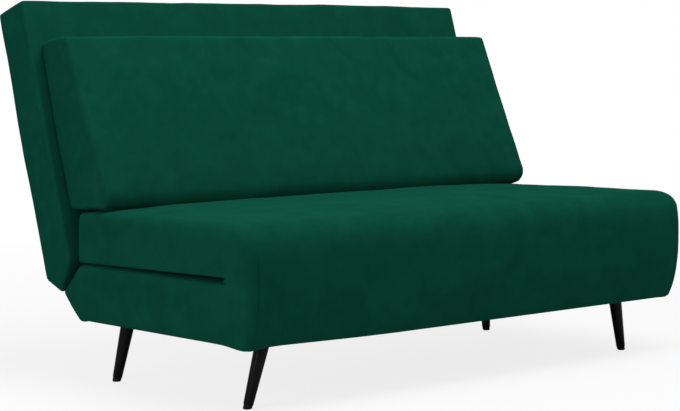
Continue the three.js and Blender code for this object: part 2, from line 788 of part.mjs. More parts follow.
// Seat legs, folded flat against the rear end of the seat.
const seatLegAxisDepth = seatDepth + fit + bracketThickness + fit + supportTubeRadius;
const seatLegReach = 2 * foldLevel - seatLegPivotHeight;
for (const [side, sign] of sides) {
  const x = sign * seatLegPivotHalfSpan;
  const face = seatDepth + fit;
  const studEnd = seatLegAxisDepth + supportTubeRadius + fit;
  const along = (y) => [x, y, seatLegPivotHeight];
  let bracket = solid(block(
    [x - seatBracketWidth / 2, face, seatLegPivotHeight - seatBracketHeight / 2],
    [x + seatBracketWidth / 2, face + bracketThickness, seatLegPivotHeight + seatBracketHeight / 2],
  ));
  bracket = bracket.add(solid(bar(along(face), along(studEnd + studHeadThickness), supportStudRadius)));
  bracket = bracket.add(solid(bar(along(studEnd), along(studEnd + studHeadThickness), studHeadRadius)));
  add(`seat_leg_bracket_${side}`, bracket, finishes.steel);
  const out = (distance) => [x - sign * distance, seatLegAxisDepth, seatLegPivotHeight];
  const tubeEnd = seatLegReach - tipFloor - fit;
  const tube = hollowTube(out(-tubeEndPast), out(tubeEnd), out(-overrun), out(seatLegReach));
  add(`seat_leg_${side}`, tube.subtract(solid(bar(
    along(face), along(studEnd + overrun), supportStudRadius + fit,
  ))), finishes.steel);
  const tip = solid(bar(out(seatLegReach - tipDepth), out(seatLegReach), tipRadius));
  add(`seat_leg_tip_${side}`, tip.subtract(solid(bar(
    out(0), out(seatLegReach - tipFloor), supportTubeRadius + fit,
  ))), finishes.rubber);
}

// Back: cover open behind, foam, slats, frame and rear panel, all in the leaning group.
const backHollowHalf = backPlateOuter + platePocket;
let backCover = solid(makeBack());
backCover = backCover.subtract(solid(block(
  [-backHollowHalf, backFrontPadding, backBottomPadding],
  [backHollowHalf, backThickness + overrun, backHollowTop],
)));
const pivotInBackAt = (x) => [x, pivotInBack.x, pivotInBack.y];
for (const [, sign] of sides) {
  const [low, high] = span(sign, hingeSlotHalfInner, hingeSlotHalfOuter);
  backCover = backCover.subtract(solid(bar(
    pivotInBackAt(low), pivotInBackAt(high), hingeNotchRadius,
  )));
  const [slotLow, slotHigh] = span(sign, backPlateInner - runningGap, backPlateOuter + runningGap);
  backCover = backCover.subtract(solid(block(
    [slotLow, backPlateFront - backPlateKnee, -backBottomTip],
    [slotHigh, backPlateRear + runningGap, backBottomPadding + fit],
  )));
}
add('back_cover', backCover, finishes.velvet, backGroup);
const backInner = {
  x: backHollowHalf - fit,
  bottom: backBottomPadding + fit,
  top: backHollowTop - fit,
};
const rearPanelFront = backThickness - rearPanelThickness;
const backRailRear = rearPanelFront - fit;
const backRailFront = backRailRear - backRailDepth;
const backPanelRear = backRailFront - fit;
const backPanelFront = backPanelRear - slatPanelThickness;
add('back_rear_panel', block(
  [-backInner.x, rearPanelFront, backInner.bottom],
  [backInner.x, backThickness, backInner.top],
), finishes.velvet, backGroup);
const stileOuter = backPlateInner - fit;
add('back_top_rail', block(
  [-stileOuter, backRailFront, backInner.top - backRailWidth],
  [stileOuter, backRailRear, backInner.top],
), finishes.timber, backGroup);
add('back_bottom_rail', block(
  [-stileOuter, backRailFront, backInner.bottom],
  [stileOuter, backRailRear, backInner.bottom + railThickness],
), finishes.timber, backGroup);
for (const [side, sign] of sides) {
  const [low, high] = span(sign, stileOuter - stileWidth, stileOuter);
  add(`back_${side}_stile`, block(
    [low, backRailFront, backInner.bottom + railThickness + fit],
    [high, backRailRear, backInner.top - backRailWidth - fit],
  ), finishes.timber, backGroup);
}
add('back_slat_panel', slattedPanel(
  [-stileOuter, backPanelFront, backInner.bottom],
  [stileOuter, backPanelRear, backInner.top],
  2,
), finishes.beech, backGroup);
add('back_foam', block(
  [-backInner.x, backFrontPadding + fit, backInner.bottom],
  [backInner.x, backPanelFront - fit, backInner.top],
), finishes.foam, backGroup);

// Back plates, with the row of holes that the plungers click into.
for (const [side, sign] of sides) {
  const [low, high] = span(sign, backPlateInner, backPlateOuter);
  const neckFoot = pivotInBack.y - plateEyeRadius / 2;
  let plate = solid(across([
    [pivotInBack.x - basePlateNeck, pivotInBack.y],
    [pivotInBack.x + basePlateNeck, neckFoot],
    [backPlateRear, backPlateKnee],
    [backPlateRear, backPlateTop],
    [backPlateFront, backPlateTop],
    [backPlateFront, backPlateKnee],
  ], low, high));
  plate = plate.add(solid(bar(pivotInBackAt(low), pivotInBackAt(high), plateEyeRadius)));
  plate = plate.subtract(solid(bar(
    pivotInBackAt(low - overrun), pivotInBackAt(high + overrun), pinRadius + fit,
  )));
  for (let i = 0; i <= clickAngles; i += 1) {
    const angle = bearing + lean + (recline * i) / clickAngles;
    const hole = (x) => [
      x,
      pivotInBack.x + detentRadius * Math.cos(angle),
      pivotInBack.y + detentRadius * Math.sin(angle),
    ];
    plate = plate.subtract(solid(bar(hole(low - overrun), hole(high + overrun), detentHoleRadius)));
  }
  add(`hinge_back_plate_${side}`, plate, finishes.zinc, backGroup);
}

// Back leg, folded flat behind the back.
const backLegDepth = backThickness + fit + bracketThickness + backLegStandoff;
const backLegReach = pivotHeight + pivotInBack.x - backLegDepth;
const barRise = backLegPivotRise - (backLegReach - supportTubeRadius);
for (const [side, sign] of sides) {
  const x = sign * backLegHalfSpan;
  const face = backThickness + fit;
  const earInner = supportTubeRadius + fit;
  const earOuter = earInner + earThickness;
  let bracket = solid(block(
    [x - earOuter, face, backLegPivotRise - backBracketHeight / 2],
    [x + earOuter, face + bracketThickness, backLegPivotRise + backBracketHeight / 2],
  ));
  for (const [low, high] of [[x - earOuter, x - earInner], [x + earInner, x + earOuter]]) {
    bracket = bracket.add(solid(block(
      [low, face, backLegPivotRise - earHeight / 2],
      [high, backLegDepth + supportTubeRadius, backLegPivotRise + earHeight / 2],
    )));
  }
  const pinAt = (px) => [px, backLegDepth, backLegPivotRise];
  bracket = bracket.add(solid(bar(pinAt(x - earOuter), pinAt(x + earOuter), supportStudRadius)));
  add(`back_leg_bracket_${side}`, bracket, finishes.steel, backGroup);
  const down = (rise) => [x, backLegDepth, rise];
  let arm = hollowTube(
    down(backLegPivotRise + tubeEndPast), down(barRise),
    down(backLegPivotRise + overrun), down(barRise - overrun),
  );
  arm = arm.subtract(solid(bar(pinAt(x - overrun), pinAt(x + overrun), supportStudRadius + fit)));
  arm = arm.subtract(solid(bar(
    [x - overrun, backLegDepth, barRise], [x + overrun, backLegDepth, barRise], supportTubeRadius + fit,
  )));
  add(`back_leg_${side}_arm`, arm, finishes.steel, backGroup);
}
const barHalf = backLegHalfSpan + backLegBarPast;
const barAt = (x) => [x, backLegDepth, barRise];
add('back_leg_bar', hollowTube(
  barAt(-barHalf), barAt(barHalf), barAt(-barHalf - overrun), barAt(barHalf + overrun),
), finishes.steel, backGroup);
for (const [side, sign] of sides) {
  const head = barHalf + fit;
  const cap = solid(bar(barAt(sign * head), barAt(sign * (head + capThickness)), supportTubeRadius));
  add(`back_leg_cap_${side}`, cap.add(solid(bar(
    barAt(sign * (head - plugLength)), barAt(sign * head), supportTubeRadius - tubeWall - fit,
  ))), finishes.rubber, backGroup);
}

// Back cushion, hollowed where it rests on the seat and leans on the back.
const backTurn = new THREE.Matrix4().makeRotationX(-lean).setPosition(0, backFootDepth, backFootHeight);
const cushion = solid(softForm(cushionCorners, half - cushionSideInset, cushionEndRound, {
  sideCrown: cushionSideCrown,
})).subtract(solid(makeSeat(fit))).subtract(solid(makeBack(fit).applyMatrix4(backTurn)));
add('back_cushion', cushion, finishes.velvetSeat);

// The origin goes under the middle of the whole depth.
const reach = new THREE.Box3().setFromObject(sofa, true);
sofa.position.y = -(reach.min.y + reach.max.y) / 2;

export default sofa;
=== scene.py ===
import json
import math

import bmesh
import bpy
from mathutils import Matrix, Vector, noise
from mathutils.bvhtree import BVHTree


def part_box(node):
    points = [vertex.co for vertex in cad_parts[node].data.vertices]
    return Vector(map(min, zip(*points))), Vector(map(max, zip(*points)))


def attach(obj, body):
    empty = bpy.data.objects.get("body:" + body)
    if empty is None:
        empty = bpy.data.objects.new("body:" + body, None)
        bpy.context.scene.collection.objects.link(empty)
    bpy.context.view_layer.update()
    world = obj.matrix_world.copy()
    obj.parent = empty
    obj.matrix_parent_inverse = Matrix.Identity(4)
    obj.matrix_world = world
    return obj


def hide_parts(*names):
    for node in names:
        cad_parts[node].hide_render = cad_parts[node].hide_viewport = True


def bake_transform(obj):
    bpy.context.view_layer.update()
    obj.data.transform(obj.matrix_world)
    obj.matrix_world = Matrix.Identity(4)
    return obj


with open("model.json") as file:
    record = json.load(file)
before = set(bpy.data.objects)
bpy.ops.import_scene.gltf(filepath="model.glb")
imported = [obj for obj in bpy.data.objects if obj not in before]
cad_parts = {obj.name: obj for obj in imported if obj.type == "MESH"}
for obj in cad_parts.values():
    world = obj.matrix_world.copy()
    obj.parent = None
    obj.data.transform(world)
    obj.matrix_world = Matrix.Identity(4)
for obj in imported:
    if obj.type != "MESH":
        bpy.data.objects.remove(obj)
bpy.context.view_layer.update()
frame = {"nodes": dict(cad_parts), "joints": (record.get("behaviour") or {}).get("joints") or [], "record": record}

# Places of the joints and of the feet, from the frame.
joint_places = {joint["name"]: joint.get("pos_m") for joint in frame["joints"]}
mount_places = {mount["name"]: mount["pos_m"] for mount in frame["record"]["mounts"]}
FOLD_Y = joint_places["seat_fold"][1]
FOLD = joint_places["seat_fold"][2]
PIVOT_Y, PIVOT_Z = joint_places["back_recline"][1:]

# Base and seat. Depths are counted backwards from the front edge of the base's underside. The front and
# the sides stand out most at the fold.
HALF = 0.725                    # half the width, without the swell of the sides
CLEARANCE = 0.152               # height of the base's underside
FRONT_BULGE = 0.020
SIDE_BULGE = 0.017
FRONT_FULLNESS = 2.2            # powers of these two swells: a higher one is fuller
SIDE_FULLNESS = 4.0
HALF_RISE = 0.145               # height above or below the fold where the sides' swell ends
SWELL_START = 0.06              # depth where the sides' swell begins to fade
SPLIT = 0.00003                 # half the gap between base and seat at the fold
ORIGIN_Y = FOLD_Y + FRONT_BULGE + 0.00015
BLOCK_DEPTH = 0.058             # depth of the closed front, ahead of the slot
SEAT_DEPTH = 0.626
SEAT_REAR_TOP = 0.410
SEAT_FRONT_TOP = 0.424
SEAT_SETBACK = 0.006            # how far the seat's top stands ahead of the underside's edge
SEAT_CROWN = 0.014
SLOT_CEILING = (0.304, 0.290)   # heights at the slot's front end and at its rear end
SLOT_FLOOR = (0.291, 0.286)
BASE_REAR = 0.619
NOSE_DEPTH = 0.690              # the rear edge that slopes out over the underside
NOSE_HEIGHT = 0.214
CROWN_END = 0.016               # the crown of the top ends this far ahead of the seat's rear
NOSE_FILL = 0.003
FOLD_EDGES = (0.004, 0.009)     # distances from the fold of the edges that hold its profile
FOLD_REACH = 0.012              # radius of the groove at the fold, under the front cover
FOLD_FADE = 0.02                # depth over which the groove fades
FOLD_END = 0.012                # run over which it fades beside the front cover's seams

# Sags of the hem and ridge of the side seam.
HEM_REACH = 0.05                # height over which the sags fade
HEM_CORNER = (0.712, 0.026)     # middle of the left corner's sag: distance across and depth
HEM_CORNER_WIDTH = 0.042
CORNER_SAG = 0.007
HEM_RUN = (-0.73, -0.25)        # the front's sag grows between these two places across
HEM_FRONT = 0.012               # depth where the front's sag begins to fade
HEM_REAR = 0.030                # depth where it has gone
HEM_RIGHT = 0.69                # beyond this place across, it runs on along the right side
HEM_RIGHT_REAR = 0.3
HEM_SAG = 0.0078
RIDGE_DEPTH = 0.050
RIDGE_WIDTH = 0.006
RIDGE_HEIGHT = 0.245
RIDGE_RISE = 0.05
RIDGE_LIFT = 0.0014

# Back. It is modelled upright, its front face at depth 0, and leans afterwards.
LEAN = math.radians(17)
BACK_HALF = 0.7335
BACK_SHIFT = 0.0015             # it sits this far to the right
BACK_THICKNESS = 0.118
BACK_LENGTH = 0.650
BACK_FOOT = (ORIGIN_Y + 0.646, 0.290)
BACK_TIP = (0.062, -0.0615)     # lowest edge of the tapered foot
BACK_REAR_FOOT = 0.021
BACK_SHOULDER = 0.012
BACK_SHOULDER_RISE = 0.008
BACK_CROWN = 0.004
BACK_SWELL = 0.005
BACK_TOP_RISE = 0.003
REAR_FULLNESS = 0.0012
PANEL_INSET = 0.040             # from the back's edges to the seam of its rear panel

# Back cushion, a wedge: its heel stands on the seat, its rear lies against the back.
CUSHION_HALF = 0.7170
CUSHION_SHIFT = 0.006
CUSHION_TOP = 0.818
CUSHION_TOP_DEPTH = 0.688
CUSHION_TOP_RISE = 0.004
CUSHION_FRONT = (0.521, 0.452)
CUSHION_HEEL = (0.548, 0.411)
CUSHION_END = 0.640             # its ends begin this far from the middle
CUSHION_END_RUN = 0.070
CUSHION_VOXEL = 0.007
SEAM_FACING = 0.975             # a point that faces no flat side this closely lies on a seam
FACE_CROWN = 0.5                # share of the simulated swelling that is kept
CONTACT_GAP = 0.0004

# Front cover and seams.
SEAM_X = 0.7085                 # half the width between the front's side seams
COVER_THICKNESS = 0.0012
COVER_LIFT = 0.0003
COVER_COLUMNS = 96
COVER_ROWS = 180
TUCK_HEIGHT = 0.335             # height where the cover's edges begin to sink into the seat's cover
TUCK_RISE = 0.045
TUCK_SIDE = 0.04                # distances from its sides and its rear, and the runs over which it sinks
TUCK_SIDE_RUN = 0.038
TUCK_REAR = 0.07
TUCK_REAR_RUN = 0.045
BOX_SEAM = 0.025                # from the cushion's front face, round its ends
REAR_SEAM = 0.014               # from the cushion's rear face
SEAM_DEPTH = 0.0016
SEAM_WIDTH = 0.0035

# Hollows for the hinges and for the dust cover.
HINGE_SLOT = (0.6573, 0.6903)
HINGE_SLOT_BOTTOM = 0.163
HINGE_SLOT_TOP = 0.262
HINGE_SLOT_DEPTH = 0.600
HINGE_NOTCH = 0.0492
DUST_RECESS = 0.1556
DUST_HALF = 0.7035
DUST_FRONT = 0.0305
DUST_REAR = 0.6005

# Legs, tubes and rubber ends.
LEG_SPLAYS = {"front": (0.039, -0.008), "rear": (0.026, -0.016)}
LEG_PLATE = 0.0033
LEG_FOOT_RADIUS = 0.0113
LEG_TOP_RADIUS = 0.0170
LEG_OVERRUN = 0.010
GLIDE_LENGTH = 0.009
GLIDE_RADIUS = 0.0102
TUBE_RADIUS = 0.010
TUBE_WALL = 0.0015
TIP_RADIUS = 0.013
ARM_PAST = 0.009

# Distances between the edges that the blocks are cut into before they are shaped.
PITCH = 0.042
ROW_PITCH = 0.026
SLAB_PITCH = 0.03

# Camera, found from the feet, the base's edges and the back's corners in the photograph.
CAMERA_PLACE = (-3.4719, -3.7952, 0.8207)
CAMERA_YAW = 42.16
CAMERA_DIP = 4.72
CAMERA_LENS = 107.28


def add_camera():
    data = bpy.data.cameras.new("camera")
    data.lens = CAMERA_LENS
    data.sensor_width = 36
    data.sensor_fit = "HORIZONTAL"
    camera = bpy.data.objects.new("camera", data)
    camera.location = CAMERA_PLACE
    camera.rotation_euler = (math.radians(90 - CAMERA_DIP), 0, math.radians(-CAMERA_YAW))
    bpy.context.scene.collection.objects.link(camera)
    bpy.context.scene.camera = camera


# Mesh tools.
def pick(obj):
    """Makes one object the only chosen one and the active one."""
    bpy.ops.object.select_all(action="DESELECT")
    obj.select_set(True)
    bpy.context.view_layer.objects.active = obj


def open_mesh(obj):
    pick(obj)
    bpy.ops.object.mode_set(mode="EDIT")


def close_mesh():
    bpy.ops.object.mode_set(mode="OBJECT")


def keep(obj, name):
    """Names a new object and moves its place, turn and size into its points."""
    obj.name = name
    obj.data.name = name
    pick(obj)
    bpy.ops.object.transform_apply(location=True, rotation=True, scale=True)
    return obj


def new_block(name, low, high):
    """A block between two opposite corners."""
    bpy.ops.object.select_all(action="DESELECT")
    middle = [(a + b) / 2 for a, b in zip(low, high)]
    size = [b - a for a, b in zip(low, high)]
    bpy.ops.mesh.primitive_cube_add(size=1, location=middle, scale=size)
    return keep(bpy.context.object, name)


def choose_faces(obj, test):
    """Selects the faces of an open mesh whose middle and normal pass a test."""
    bpy.ops.mesh.select_mode(type="FACE")
    bpy.ops.mesh.select_all(action="DESELECT")
    mesh = bmesh.from_edit_mesh(obj.data)
    for face in mesh.faces:
        face.select_set(test(face.calc_center_median(), face.normal))
    bmesh.update_edit_mesh(obj.data)


def slice_off(obj, first, second):
    """Cuts a block along a line in depth and height, and closes the cut. The block stays on the left."""
    outward = Vector((0, second[1] - first[1], first[0] - second[0])).normalized()
    open_mesh(obj)
    bpy.ops.mesh.select_all(action="SELECT")
    bpy.ops.mesh.bisect(plane_co=(0, *first), plane_no=outward, use_fill=True, clear_outer=True)
    close_mesh()


def score(obj, axis, places):
    """Cuts edges round a block where planes square to an axis meet it."""
    normal = [0, 0, 0]
    normal[axis] = 1
    open_mesh(obj)
    for place in places:
        bpy.ops.mesh.select_all(action="SELECT")
        bpy.ops.mesh.bisect(plane_co=[place * n for n in normal], plane_no=normal)
    close_mesh()


def spread(low, high, pitch):
    """Even places between two ends, no further apart than the pitch, without the ends."""
    count = math.ceil((high - low) / pitch)
    return [low + (high - low) * i / count for i in range(1, count)]


def modify(obj, kind, **settings):
    """Adds a modifier, sets it and applies it."""
    pick(obj)
    bpy.ops.object.modifier_add(type=kind)
    modifier = obj.modifiers[-1]
    for key, value in settings.items():
        setattr(modifier, key, value)
    bpy.ops.object.modifier_apply(modifier=modifier.name)


def round_block(obj, half, corners, segments=4):
    """Rounds a block's edges. Each corner of its outline gives its depth, height, radius across and the
    radius of the side edges that follow it."""
    biggest = max(max(corner[2], corner[3]) for corner in corners)
    weights = obj.data.attributes.new("bevel_weight_edge", "FLOAT", "EDGE")
    points = obj.data.vertices
    near = 0.0015
    for edge in obj.data.edges:
        a, b = (points[i].co for i in edge.vertices)
        middle = (a + b) / 2
        run = (b - a).normalized()
        place = Vector((middle.y, middle.z))
        for i, (y, z, across, along) in enumerate(corners):
            after = corners[(i + 1) % len(corners)]
            start, end = Vector((y, z)), Vector(after[:2])
            if abs(run.x) > 0.9:
                if (place - start).length < near:
                    weights.data[edge.index].value = across / biggest
            elif abs(middle.x) > half - near:
                share = (place - start).dot(end - start) / (end - start).length_squared
                if -0.001 < share < 1.001 and (start.lerp(end, share) - place).length < near:
                    weights.data[edge.index].value = along / biggest
    modify(
        obj, "BEVEL", width=biggest, segments=segments, limit_method="WEIGHT", use_clamp_overlap=False)


def cut_out(obj, cutters):
    """Takes blocks out of a piece."""
    bpy.ops.object.select_all(action="DESELECT")
    for cutter in cutters:
        cutter.select_set(True)
    bpy.context.view_layer.objects.active = cutters[0]
    bpy.ops.object.join()
    tool = bpy.context.object
    modify(obj, "BOOLEAN", object=tool, operation="DIFFERENCE", solver="EXACT")
    bpy.data.objects.remove(tool)


def crease_edges(obj, test):
    """Keeps the edges that pass a test of their two ends sharp under subdivision."""
    creases = obj.data.attributes.new("crease_edge", "FLOAT", "EDGE")
    points = obj.data.vertices
    for edge in obj.data.edges:
        a, b = (points[i].co for i in edge.vertices)
        if test(a) and test(b):
            creases.data[edge.index].value = 1.0


def move_points(obj, rule):
    """Moves each point of a mesh by a rule of its place and normal."""
    normals = [vertex.normal.copy() for vertex in obj.data.vertices]
    for vertex, normal in zip(obj.data.vertices, normals):
        vertex.co = rule(vertex.co.copy(), normal)
    obj.data.update()


def smooth(obj, angle=40):
    pick(obj)
    bpy.ops.object.shade_smooth_by_angle(angle=math.radians(angle))


def seam_dip(away):
    """How deep a seam draws the cloth in, at a distance from its line."""
    return SEAM_DEPTH * math.exp(-(away / SEAM_WIDTH) ** 2)


def uneven(place, size, height):
    """A gentle unevenness of a given width and height."""
    return noise.noise(place / size) * height


# Shapes that the base, the seat and their front cover share.
def depth(value):
    """Turns a depth into a place along the frame's Y."""
    return ORIGIN_Y + value


def within(share):
    """Holds a share between 0 and 1."""
    return min(1, max(0, share))


def ease(value, low, high):
    """Runs smoothly from 0 to 1 between two values."""
    share = within((value - low) / (high - low))
    return share * share * (3 - 2 * share)


def side_swell(place):
    """Swells the sides round the fold, less towards the rear."""
    bulge = SIDE_BULGE * (1 - min(1.05, abs(place.z - FOLD) / HALF_RISE) ** SIDE_FULLNESS)
    rear = ease(place.y, depth(SWELL_START), depth(SEAT_DEPTH))
    place.x *= 1 + bulge * (1 - rear) / HALF
    return place


def hump(share, power):
    """Rises from 0 to 1 and falls to 0 again. A higher power makes it fuller."""
    return 1 - abs(2 * within(share) - 1) ** power


def crown_top(place, normal):
    """Crowns the seat's top between its ends, its front and its rear."""
    if normal.z > 0.4 and place.z > SEAT_REAR_TOP - 0.02:
        width = 1 - abs(place.x / HALF) ** 4
        share = (place.y - depth(BLOCK_DEPTH)) / (SEAT_DEPTH - CROWN_END - BLOCK_DEPTH)
        place.z += SEAT_CROWN * hump(share, 4) * width


def swell_front(place, normal):
    """Fills the front out above and below the fold, and leaves it upright at the fold."""
    below = within((FOLD - place.z) / (FOLD - CLEARANCE))
    above = within((place.z - FOLD) / (SEAT_FRONT_TOP - FOLD))
    fuller = FRONT_BULGE * (below - below ** FRONT_FULLNESS)
    fuller += (FRONT_BULGE - SEAT_SETBACK) * (above - above ** FRONT_FULLNESS)
    place.y -= fuller * min(1, 1.5 * max(-normal.y, 0))


def fill_nose(place, normal):
    """Swells the slope between the underside and the nose."""
    if place.y > depth(BASE_REAR) - 0.01 and place.z < NOSE_HEIGHT:
        facing = max(0, normal.y - normal.z) / math.sqrt(2)
        fill = NOSE_FILL * min(1, facing * max(0, NOSE_HEIGHT + 0.01 - place.z) / 0.03)
        place.y += fill
        place.z -= fill


def sag_hem(place):
    """Lets the hem hang lower at its left front corner and along the front towards the right."""
    low = max(0, 1 - (place.z - CLEARANCE) / HEM_REACH)
    if place.x < 0:
        corner = math.hypot(abs(place.x) - HEM_CORNER[0], place.y - depth(HEM_CORNER[1]))
        place.z -= CORNER_SAG * math.exp(-(corner / HEM_CORNER_WIDTH) ** 2) * low
    behind = depth(HEM_REAR if place.x < HEM_RIGHT else HEM_RIGHT_REAR)
    hem = ease(place.x, *HEM_RUN) * (1 - ease(place.y, depth(HEM_FRONT), behind))
    place.z -= HEM_SAG * hem * low


def raise_ridge(place, normal):
    """Raises the side seam that runs up and down ahead of the slot."""
    across = math.exp(-((place.y - depth(RIDGE_DEPTH)) / RIDGE_WIDTH) ** 2)
    ridge = across * max(0, 1 - abs(place.z - RIDGE_HEIGHT) / RIDGE_RISE)
    place.x += math.copysign(RIDGE_LIFT, place.x) * abs(normal.x) * ridge


def body_shape(place, normal):
    """Crowns, swells and sags of the base and the seat, and an upholsterer's unevenness."""
    from_fold = abs(place.z - FOLD)
    if from_fold < 0.001:
        normal = Vector((normal.x, normal.y, 0))
        if normal.length > 0.2:
            normal.normalize()
    crown_top(place, normal)
    swell_front(place, normal)
    front = max(-normal.y, 0) ** 2
    open_side = 1 - abs(normal.z) if place.z < SLOT_CEILING[0] + 0.004 else 1
    calm = open_side * min(1, ease(from_fold, 0.01, 0.09) + (1 - front) ** 2)
    broad = uneven(place, 0.16, 0.0022)
    fine = uneven(place + Vector((3, 5, 7)), 0.055, 0.0007)
    place += normal * calm * (broad + fine)
    fill_nose(place, normal)
    sag_hem(place)
    raise_ridge(place, normal)
    return side_swell(place)


def ease_fold(obj):
    """Rounds a section's front edge at the fold, under the front cover."""
    def rule(place, normal):
        gap = abs(place.z - FOLD)
        inside = within((SEAM_X - 0.004 - abs(place.x)) / FOLD_END)
        from_front = place.y - FOLD_Y
        if gap < FOLD_REACH and from_front < FOLD_FADE:
            drop = FOLD_REACH - math.sqrt(max(0, FOLD_REACH ** 2 - (FOLD_REACH - gap) ** 2))
            place.y += drop * inside * max(0, 1 - from_front / FOLD_FADE)
        return place

    move_points(obj, rule)


def step_front(block, up):
    """Extrudes the closed front's faces to the fold, flat and with edges of their own. The direction is
    1 for the base, which goes up to the fold, and -1 for the seat."""
    open_mesh(block)
    choose_faces(block, lambda middle, normal: normal.z * up > 0.9 and middle.y < depth(BLOCK_DEPTH))
    bpy.ops.mesh.extrude_region_move(TRANSFORM_OT_translate={"value": (0, 0, SPLIT * up)})
    bpy.ops.transform.resize(value=(1, 1, 0), center_override=(0, 0, FOLD - SPLIT * up))
    close_mesh()


# Base: the lower upholstered block.
def make_base():
    corners = (
        (depth(0), CLEARANCE, 0.013, 0.009),
        (depth(BASE_REAR), CLEARANCE, 0.008, 0.007),
        (depth(NOSE_DEPTH), NOSE_HEIGHT, 0.008, 0.007),
        (depth(BASE_REAR), SLOT_FLOOR[1], 0.010, 0.009),
        (depth(BLOCK_DEPTH), SLOT_FLOOR[0], 0, 0),
        (depth(BLOCK_DEPTH), FOLD - SPLIT, 0, 0),
        (depth(-FRONT_BULGE), FOLD - SPLIT, 0, 0.028),
    )
    places = [corner[:2] for corner in corners]
    low = (-HALF, places[6][0], CLEARANCE)
    high = (HALF, places[2][0], FOLD)
    base = new_block("base_skin", low, high)
    slice_off(base, places[3], places[4])
    score(base, 1, [places[4][0]])
    step_front(base, 1)
    for i in (1, 2, 6):
        slice_off(base, places[i], places[(i + 1) % 7])
    round_block(base, HALF, corners)
    score(base, 0, spread(-HALF, HALF, PITCH))
    score(base, 1, spread(places[4][0], places[3][0], PITCH))
    score(base, 1, [places[4][0] - 0.03])
    score(base, 2, spread(CLEARANCE, SLOT_FLOOR[1], ROW_PITCH))
    score(base, 2, [FOLD - gap for gap in FOLD_EDGES])
    crease_edges(base, lambda place: place.z > FOLD - 0.001 or (
        abs(place.y - places[4][0]) < 0.001 and place.z > SLOT_FLOOR[0] - 0.001))
    modify(base, "SUBSURF", levels=2, render_levels=2)
    move_points(base, body_shape)
    cutters = [new_block(
        "dust_recess", (-DUST_HALF, depth(DUST_FRONT), CLEARANCE - 0.05),
        (DUST_HALF, depth(DUST_REAR), DUST_RECESS))]
    for side in (-1, 1):
        inner, outer = sorted(side * place for place in HINGE_SLOT)
        cutters.append(new_block(
            "hinge_slot", (inner, depth(HINGE_SLOT_DEPTH), HINGE_SLOT_BOTTOM),
            (outer, depth(0.75), HINGE_SLOT_TOP)))
    cut_out(base, cutters)
    return base


# Seat: the upper upholstered block.
def make_seat():
    corners = (
        (depth(-FRONT_BULGE), FOLD + SPLIT, 0, 0),
        (depth(BLOCK_DEPTH), FOLD + SPLIT, 0, 0),
        (depth(BLOCK_DEPTH), SLOT_CEILING[0], 0, 0.007),
        (depth(SEAT_DEPTH), SLOT_CEILING[1], 0.007, 0.009),
        (depth(SEAT_DEPTH), SEAT_REAR_TOP, 0.008, 0.019),
        (depth(-SEAT_SETBACK), SEAT_FRONT_TOP, 0.058, 0.028),
    )
    places = [corner[:2] for corner in corners]
    low = (-HALF, places[0][0], SLOT_CEILING[1])
    high = (HALF, places[3][0], SEAT_FRONT_TOP)
    seat = new_block("seat_skin", low, high)
    slice_off(seat, places[2], places[3])
    score(seat, 1, [places[1][0]])
    step_front(seat, -1)
    for i in (4, 5):
        slice_off(seat, places[i], places[(i + 1) % 6])
    round_block(seat, HALF, corners)
    score(seat, 0, spread(-HALF, HALF, PITCH))
    score(seat, 1, spread(places[1][0], places[3][0], PITCH))
    score(seat, 2, spread(SLOT_CEILING[0], SEAT_REAR_TOP, ROW_PITCH))
    score(seat, 2, [FOLD + gap for gap in FOLD_EDGES])
    crease_edges(seat, lambda place: place.z < FOLD + 0.001 or (
        abs(place.y - places[1][0]) < 0.001 and place.z < SLOT_CEILING[0] + 0.001))
    modify(seat, "SUBSURF", levels=2, render_levels=2)
    move_points(seat, body_shape)
    return seat


